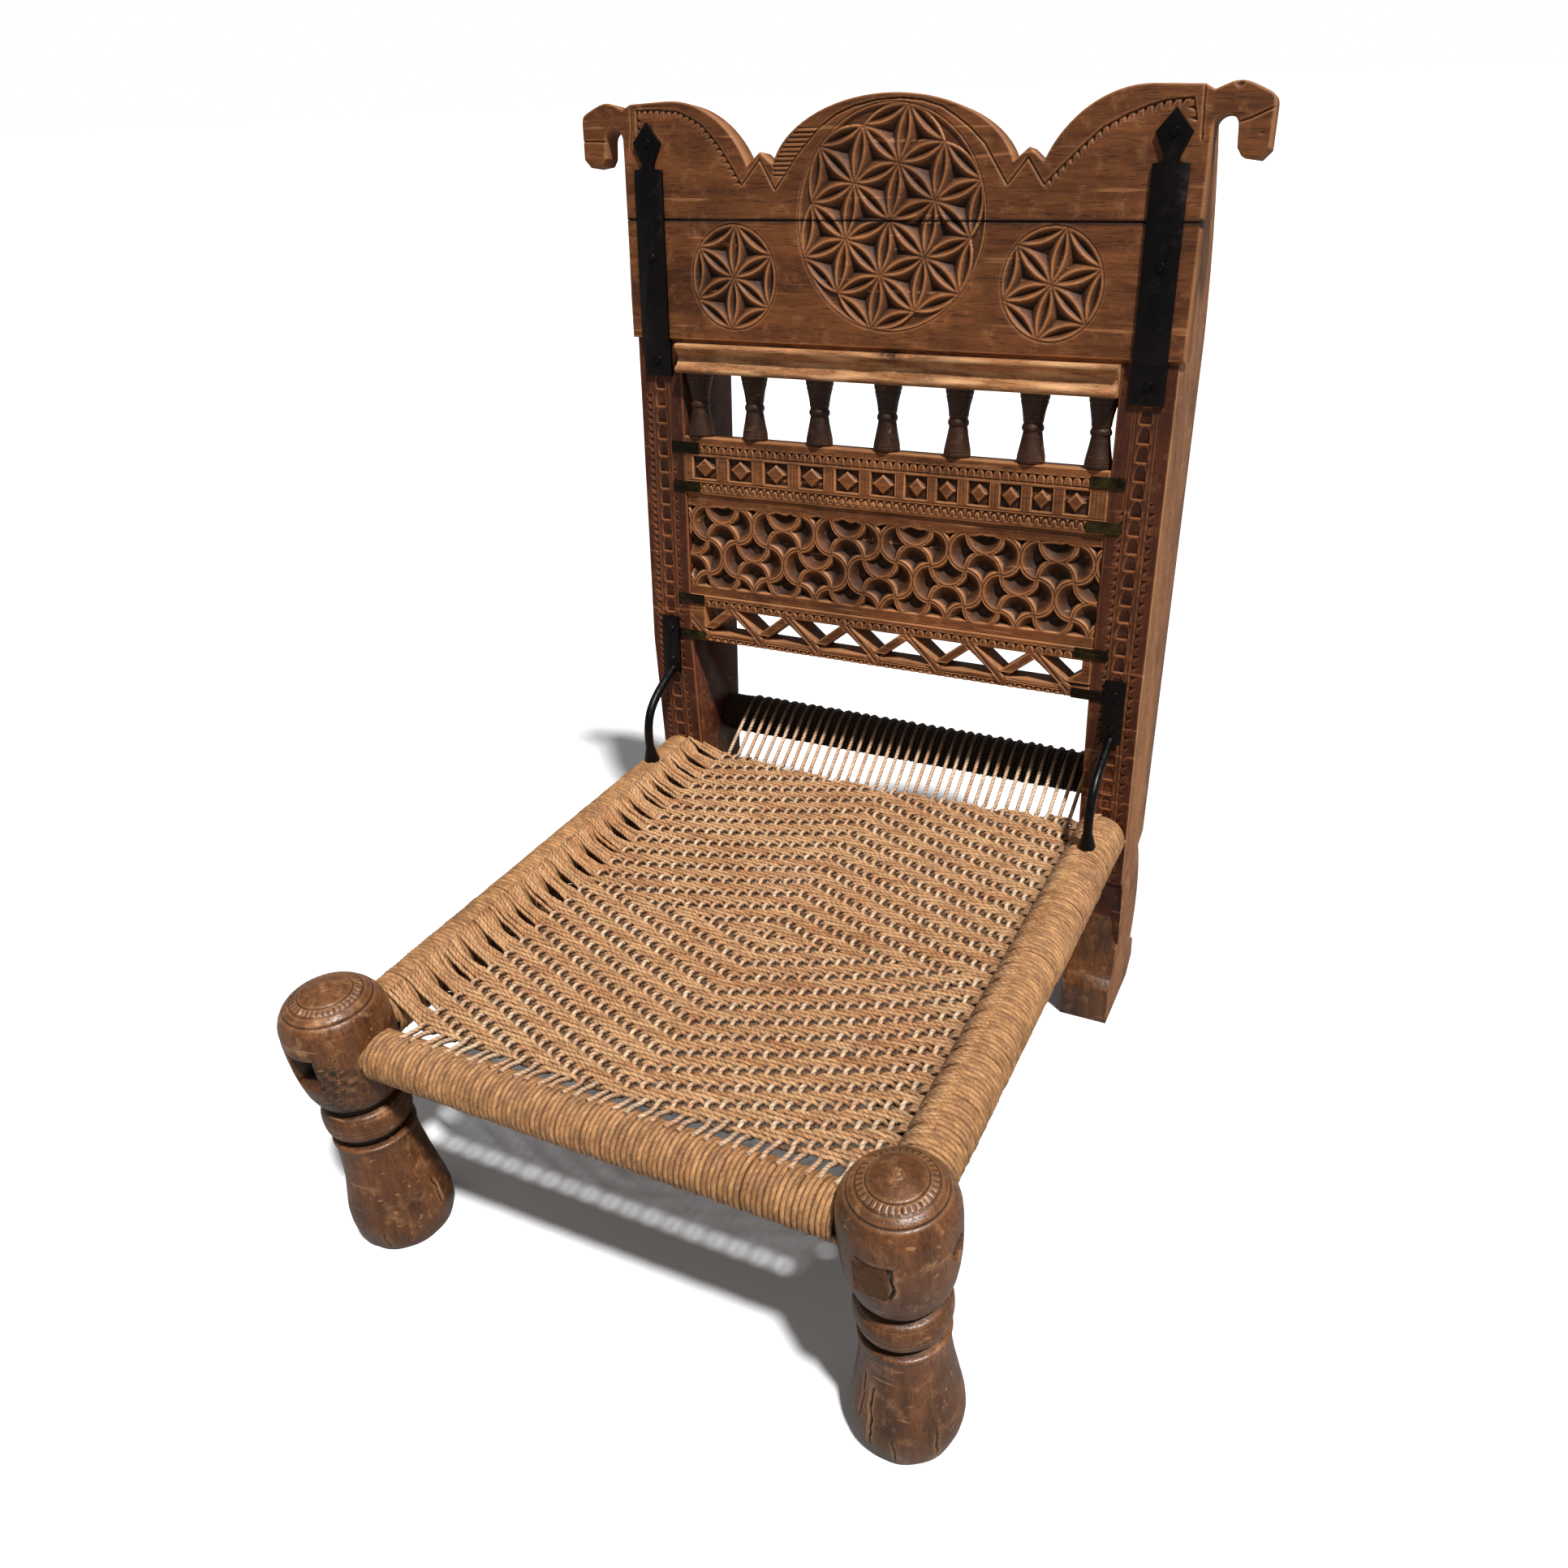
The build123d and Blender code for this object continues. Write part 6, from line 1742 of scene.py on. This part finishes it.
def forge_metal(edge):
    """Straps, stays and clips with rounded edges, and a finish for their nails."""
    for word in ("left", "right"):
        forged(f"strap_{word}", f"forged_strap_{word}", edge, "Forged iron", "iron")
        forged(f"arm_{word}", f"forged_stay_{word}", edge * 0.7, "Forged iron", "iron")
        for number in range(1, 5):
            clip = f"clip_{word}_{number}"
            forged(clip, f"thin_{clip}", 0.3, "Old brass", "brass")
    finish_slots("strap_nails", "Forged iron")
    finish_slots("arm_nails", "Forged iron")
    finish_slots("clip_nails", "Old brass")


# ---- what a user may change ----------------------------------------------------------------
def millimetres(name, description, default, low, high):
    """A length, given in millimetres and kept in metres."""
    return FloatProperty(
        name=name, description=description, default=default * MM, min=low * MM, max=high * MM,
        unit="LENGTH", precision=4,
    )


def degrees(name, description, default, low, high):
    """An angle, given in degrees and kept in radians."""
    return FloatProperty(
        name=name, description=description, default=math.radians(default),
        min=math.radians(low), max=math.radians(high), unit="ROTATION",
    )


def factor(name, description, default, high, subtype="FACTOR"):
    """A number from nothing to a highest value."""
    return FloatProperty(
        name=name, description=description, default=default, min=0.0, max=high, subtype=subtype,
    )


def colour_of(finish):
    """The middle tone of a finish."""
    tones = {**WOODS, **TWINES, **METALS}[finish]
    return FloatVectorProperty(
        name=finish, description=f"Middle tone of the {finish.lower()}; its others follow",
        default=rgba(tones[1])[:3], min=0.0, max=1.0, size=3, subtype="COLOR",
    )


class HillChairCarving(bpy.types.PropertyGroup):
    """How the boards and stiles are cut."""

    chip_depth: factor("Chip depth", "Depth of all carving, as a share of its full depth", 1.0, 1.5)
    board_edge: millimetres("Board edge", "Rounding of the crest board's edges", 1.6, 0.2, 3.0)
    rail_edge: millimetres("Rail edge", "Rounding of the other carved edges", 1.2, 0.2, 2.5)
    forged_edge: millimetres("Forged edge", "Rounding of the straps' edges", 0.7, 0.1, 1.2)


class HillChairTwine(bpy.types.PropertyGroup):
    """How thick the twine is and how it hangs."""

    lay: millimetres("Lay", "Length of one turn of the twine's two plies", 6.4, 3.0, 14.0)
    winding: millimetres("Winding twine", "Radius of the twine wound on the rails", 2.42, 1.5, 2.6)
    weft: millimetres("Weft", "Radius of the strands from side to side", 2.0, 1.0, 2.2)
    warp: millimetres("Warp", "Radius of the strands from front to back", 2.15, 1.0, 2.6)
    sag: millimetres("Seat sag", "How far the woven seat hangs in its middle", 21.5, 0.0, 30.0)


class HillChairColours(bpy.types.PropertyGroup):
    """The middle tone of every finish."""

    carved_wood: colour_of("Carved wood")
    stile_wood: colour_of("Stile wood")
    pale_sunlit_side_wood: colour_of("Pale sunlit side wood")
    tenon_wood: colour_of("Tenon wood")
    leg_wood: colour_of("Leg wood")
    moulding_wood: colour_of("Moulding wood")
    spindle_wood: colour_of("Spindle wood")
    rail_twine: colour_of("Rail twine")
    weft_twine: colour_of("Weft twine")
    warp_twine: colour_of("Warp twine")
    dark_twine: colour_of("Dark twine")
    forged_iron: colour_of("Forged iron")
    old_brass: colour_of("Old brass")


class HillChairStage(bpy.types.PropertyGroup):
    """The light on the chair."""

    sun_side: degrees("Sun's side", "How far round to the right it stands", 58.0, -180.0, 180.0)
    sun_rise: degrees("Sun's height", "How high the sun stands over the floor", 63.0, 5.0, 90.0)
    sun_blur: degrees("Sun's blur", "Angle that softens the shadows' edges", 4.0, 0.0, 20.0)
    sun_power: factor("Sun's power", "Strength of the sun", 4.5, 10.0, "NONE")
    sky_power: factor("Sky's power", "Strength of the even light", 0.21, 1.0, "NONE")


class HILLCHAIR_OT_finishes(bpy.types.Operator):
    """Make the wood, twine, iron and brass"""

    bl_idname = "hillchair.finishes"
    bl_label = "Finishes"

    def execute(self, context):
        make_finishes(context.scene.hill_chair_colours, context.scene.hill_chair_twine.lay)
        return {"FINISHED"}


ROSETTE_SPAN = (-96, 101)  # the crest's grid is finer where it holds the rosette
CREST_CELLS, CREST_ROW = (0.66, 0.84), 0.72  # width of its cells there and elsewhere, height
BOARDS = (  # node, piece, relief, how far it stands out, thickness, cell and closed edges
    ("rosette_board", "carved_rosettes", rosette_relief, BOARD_PROUD, BOARD_THICKNESS, 0.80,
     (SEAM,)),
    ("diamond_rail", "carved_diamonds", diamond_relief, 0.0, RAIL_THICKNESS, 0.62, ()),
    ("lattice_rail", "carved_lattice", lattice_relief, 0.0, RAIL_THICKNESS, 0.62, ()),
    ("crescent_panel", "carved_crescents", crescent_relief, -PANEL_SET_BACK, PANEL_THICKNESS,
     0.78, ()),
)


class HILLCHAIR_OT_crest(bpy.types.Operator):
    """Carve the crest board with its arches, horse heads and half of the rosette"""

    bl_idname = "hillchair.crest"
    bl_label = "Crest board"

    def execute(self, context):
        carving = context.scene.hill_chair_carving
        loops = board_loops("crest_board")
        low, high = loops[0].min(axis=0), loops[0].max(axis=0)
        columns = spaced(low[0] - 1, high[0] + 1, *ROSETTE_SPAN, *CREST_CELLS)
        rows = np.arange(low[1], high[1] + 1.0, CREST_ROW)
        piece = carved_plate(
            "carved_crest", loops, columns, rows, cut_to(carving.chip_depth, crest_relief),
            level(BOARD_PROUD), BOARD_THICKNESS, carving.board_edge / MM, (SEAM,),
        )
        finish_with(piece, "Carved wood")
        stand_for(piece, "carved_wood", "crest_board")
        return {"FINISHED"}


class HILLCHAIR_OT_boards(bpy.types.Operator):
    """Carve the rosette board, the diamond rail, the lattice rail and the crescent panel"""

    bl_idname = "hillchair.boards"
    bl_label = "Carved boards"

    def execute(self, context):
        carving = context.scene.hill_chair_carving
        for node, name, relief, stand, thick, cell, shut in BOARDS:
            loops = board_loops(node)
            low, high = loops[0].min(axis=0), loops[0].max(axis=0)
            columns = np.linspace(low[0], high[0], int((high[0] - low[0]) / cell))
            rows = np.linspace(low[1], high[1], int((high[1] - low[1]) / cell))
            piece = carved_plate(
                name, loops, columns, rows, cut_to(carving.chip_depth, relief), level(stand),
                thick, carving.rail_edge / MM, shut,
            )
            finish_with(piece, "Carved wood")
            stand_for(piece, "carved_wood", node)
        return {"FINISHED"}


class HILLCHAIR_OT_stiles(bpy.types.Operator):
    """Carve the two stiles"""

    bl_idname = "hillchair.stiles"
    bl_label = "Stiles"

    def execute(self, context):
        for side in (-1, 1):
            make_stile(side, context.scene.hill_chair_carving.chip_depth)
        return {"FINISHED"}


class HILLCHAIR_OT_legs(bpy.types.Operator):
    """Turn the front legs"""

    bl_idname = "hillchair.legs"
    bl_label = "Turned legs"

    def execute(self, context):
        for side in (-1, 1):
            make_leg(side)
        return {"FINISHED"}


class HILLCHAIR_OT_spindles(bpy.types.Operator):
    """Turn the spindles under the boards"""

    bl_idname = "hillchair.spindles"
    bl_label = "Spindles"

    def execute(self, context):
        make_spindles()
        return {"FINISHED"}


class HILLCHAIR_OT_rails(bpy.types.Operator):
    """Wind the seat rails with twine"""

    bl_idname = "hillchair.rails"
    bl_label = "Wound rails"

    def execute(self, context):
        thick = context.scene.hill_chair_twine.winding / MM
        for word, seed, step in (("left", 3, one_layer), ("right", 4, second_layer)):
            low, high = box_mm(f"twine_rail_{word}")
            x, z = (low[0] + high[0]) / 2, (low[2] + high[2]) / 2
            ends = (x, low[1] + RAIL_END, z), (x, high[1] - RAIL_END, z)
            rail_wrap(word, *ends, SIDE_RADIUS, thick, seed, step=step)
        # the back rail's twine is darkened as painted shadow
        for word, finish in (("front", "Rail twine"), ("back", "Dark twine")):
            low, high = box_mm(f"twine_rail_{word}")
            y, z = (low[1] + high[1]) / 2, (low[2] + high[2]) / 2
            ends = (low[0] + RAIL_END, y, z), (high[0] - RAIL_END, y, z)
            rail_wrap(word, *ends, (high[2] - low[2]) / 2, thick, 5, finish)
        return {"FINISHED"}


class HILLCHAIR_OT_seat(bpy.types.Operator):
    """Weave the seat and stretch its bare warps to the back rail"""

    bl_idname = "hillchair.seat"
    bl_label = "Woven seat"

    def execute(self, context):
        weave_seat(context.scene.hill_chair_twine)
        return {"FINISHED"}


class HILLCHAIR_OT_moulding(bpy.types.Operator):
    """Wear down the moulding under the boards"""

    bl_idname = "hillchair.moulding"
    bl_label = "Moulding"

    def execute(self, context):
        wear_moulding()
        return {"FINISHED"}


class HILLCHAIR_OT_metal(bpy.types.Operator):
    """Forge the straps, the stays, the clips and their nails"""

    bl_idname = "hillchair.metal"
    bl_label = "Metalwork"

    def execute(self, context):
        forge_metal(context.scene.hill_chair_carving.forged_edge / MM)
        return {"FINISHED"}


class HILLCHAIR_OT_plain(bpy.types.Operator):
    """Give the bare ends of the seat rails and the pegs their finish"""

    bl_idname = "hillchair.plain"
    bl_label = "Bare rails and pegs"

    def execute(self, context):
        for node in ("leg_pegs", "rail_left", "rail_right", "rail_front", "rail_back"):
            finish_slots(node, "Tenon wood")
        return {"FINISHED"}


class HILLCHAIR_OT_stage(bpy.types.Operator):
    """Set the floor, the lamps and the camera"""

    bl_idname = "hillchair.stage"
    bl_label = "Stage"

    def execute(self, context):
        white_stage(context.scene.hill_chair_stage)
        aim_camera()
        return {"FINISHED"}


class HILLCHAIR_PT_panel(bpy.types.Panel):
    """The steps and the settings in the 3D view's sidebar"""

    bl_idname = "HILLCHAIR_PT_panel"
    bl_label = "Hill Chair"
    bl_space_type = "VIEW_3D"
    bl_region_type = "UI"
    bl_category = "Hill Chair"

    def draw(self, context):
        for step in STEPS:
            self.layout.operator(step.bl_idname)
        for name, group in SETTINGS.items():
            box = self.layout.box()
            box.label(text=group.__doc__)
            for key in group.__annotations__:
                box.prop(getattr(context.scene, name), key)


STEPS = (
    HILLCHAIR_OT_finishes,
    HILLCHAIR_OT_crest,
    HILLCHAIR_OT_boards,
    HILLCHAIR_OT_stiles,
    HILLCHAIR_OT_legs,
    HILLCHAIR_OT_spindles,
    HILLCHAIR_OT_rails,
    HILLCHAIR_OT_seat,
    HILLCHAIR_OT_moulding,
    HILLCHAIR_OT_metal,
    HILLCHAIR_OT_plain,
    HILLCHAIR_OT_stage,
)
SETTINGS = {
    "hill_chair_carving": HillChairCarving,
    "hill_chair_twine": HillChairTwine,
    "hill_chair_colours": HillChairColours,
    "hill_chair_stage": HillChairStage,
}
CLASSES = (*SETTINGS.values(), *STEPS, HILLCHAIR_PT_panel)


def register():
    """Make the operators, the panel and the settings known to Blender."""
    for item in CLASSES:
        bpy.utils.register_class(item)
    for name, group in SETTINGS.items():
        setattr(bpy.types.Scene, name, PointerProperty(type=group))


def unregister():
    """Take them out again."""
    for name in SETTINGS:
        delattr(bpy.types.Scene, name)
    for item in reversed(CLASSES):
        bpy.utils.unregister_class(item)


def main():
    """Dress the frame step by step."""
    register()
    for step in STEPS:
        group, name = step.bl_idname.split(".")
        getattr(getattr(bpy.ops, group), name)()


if __name__ == "__main__":
    main()
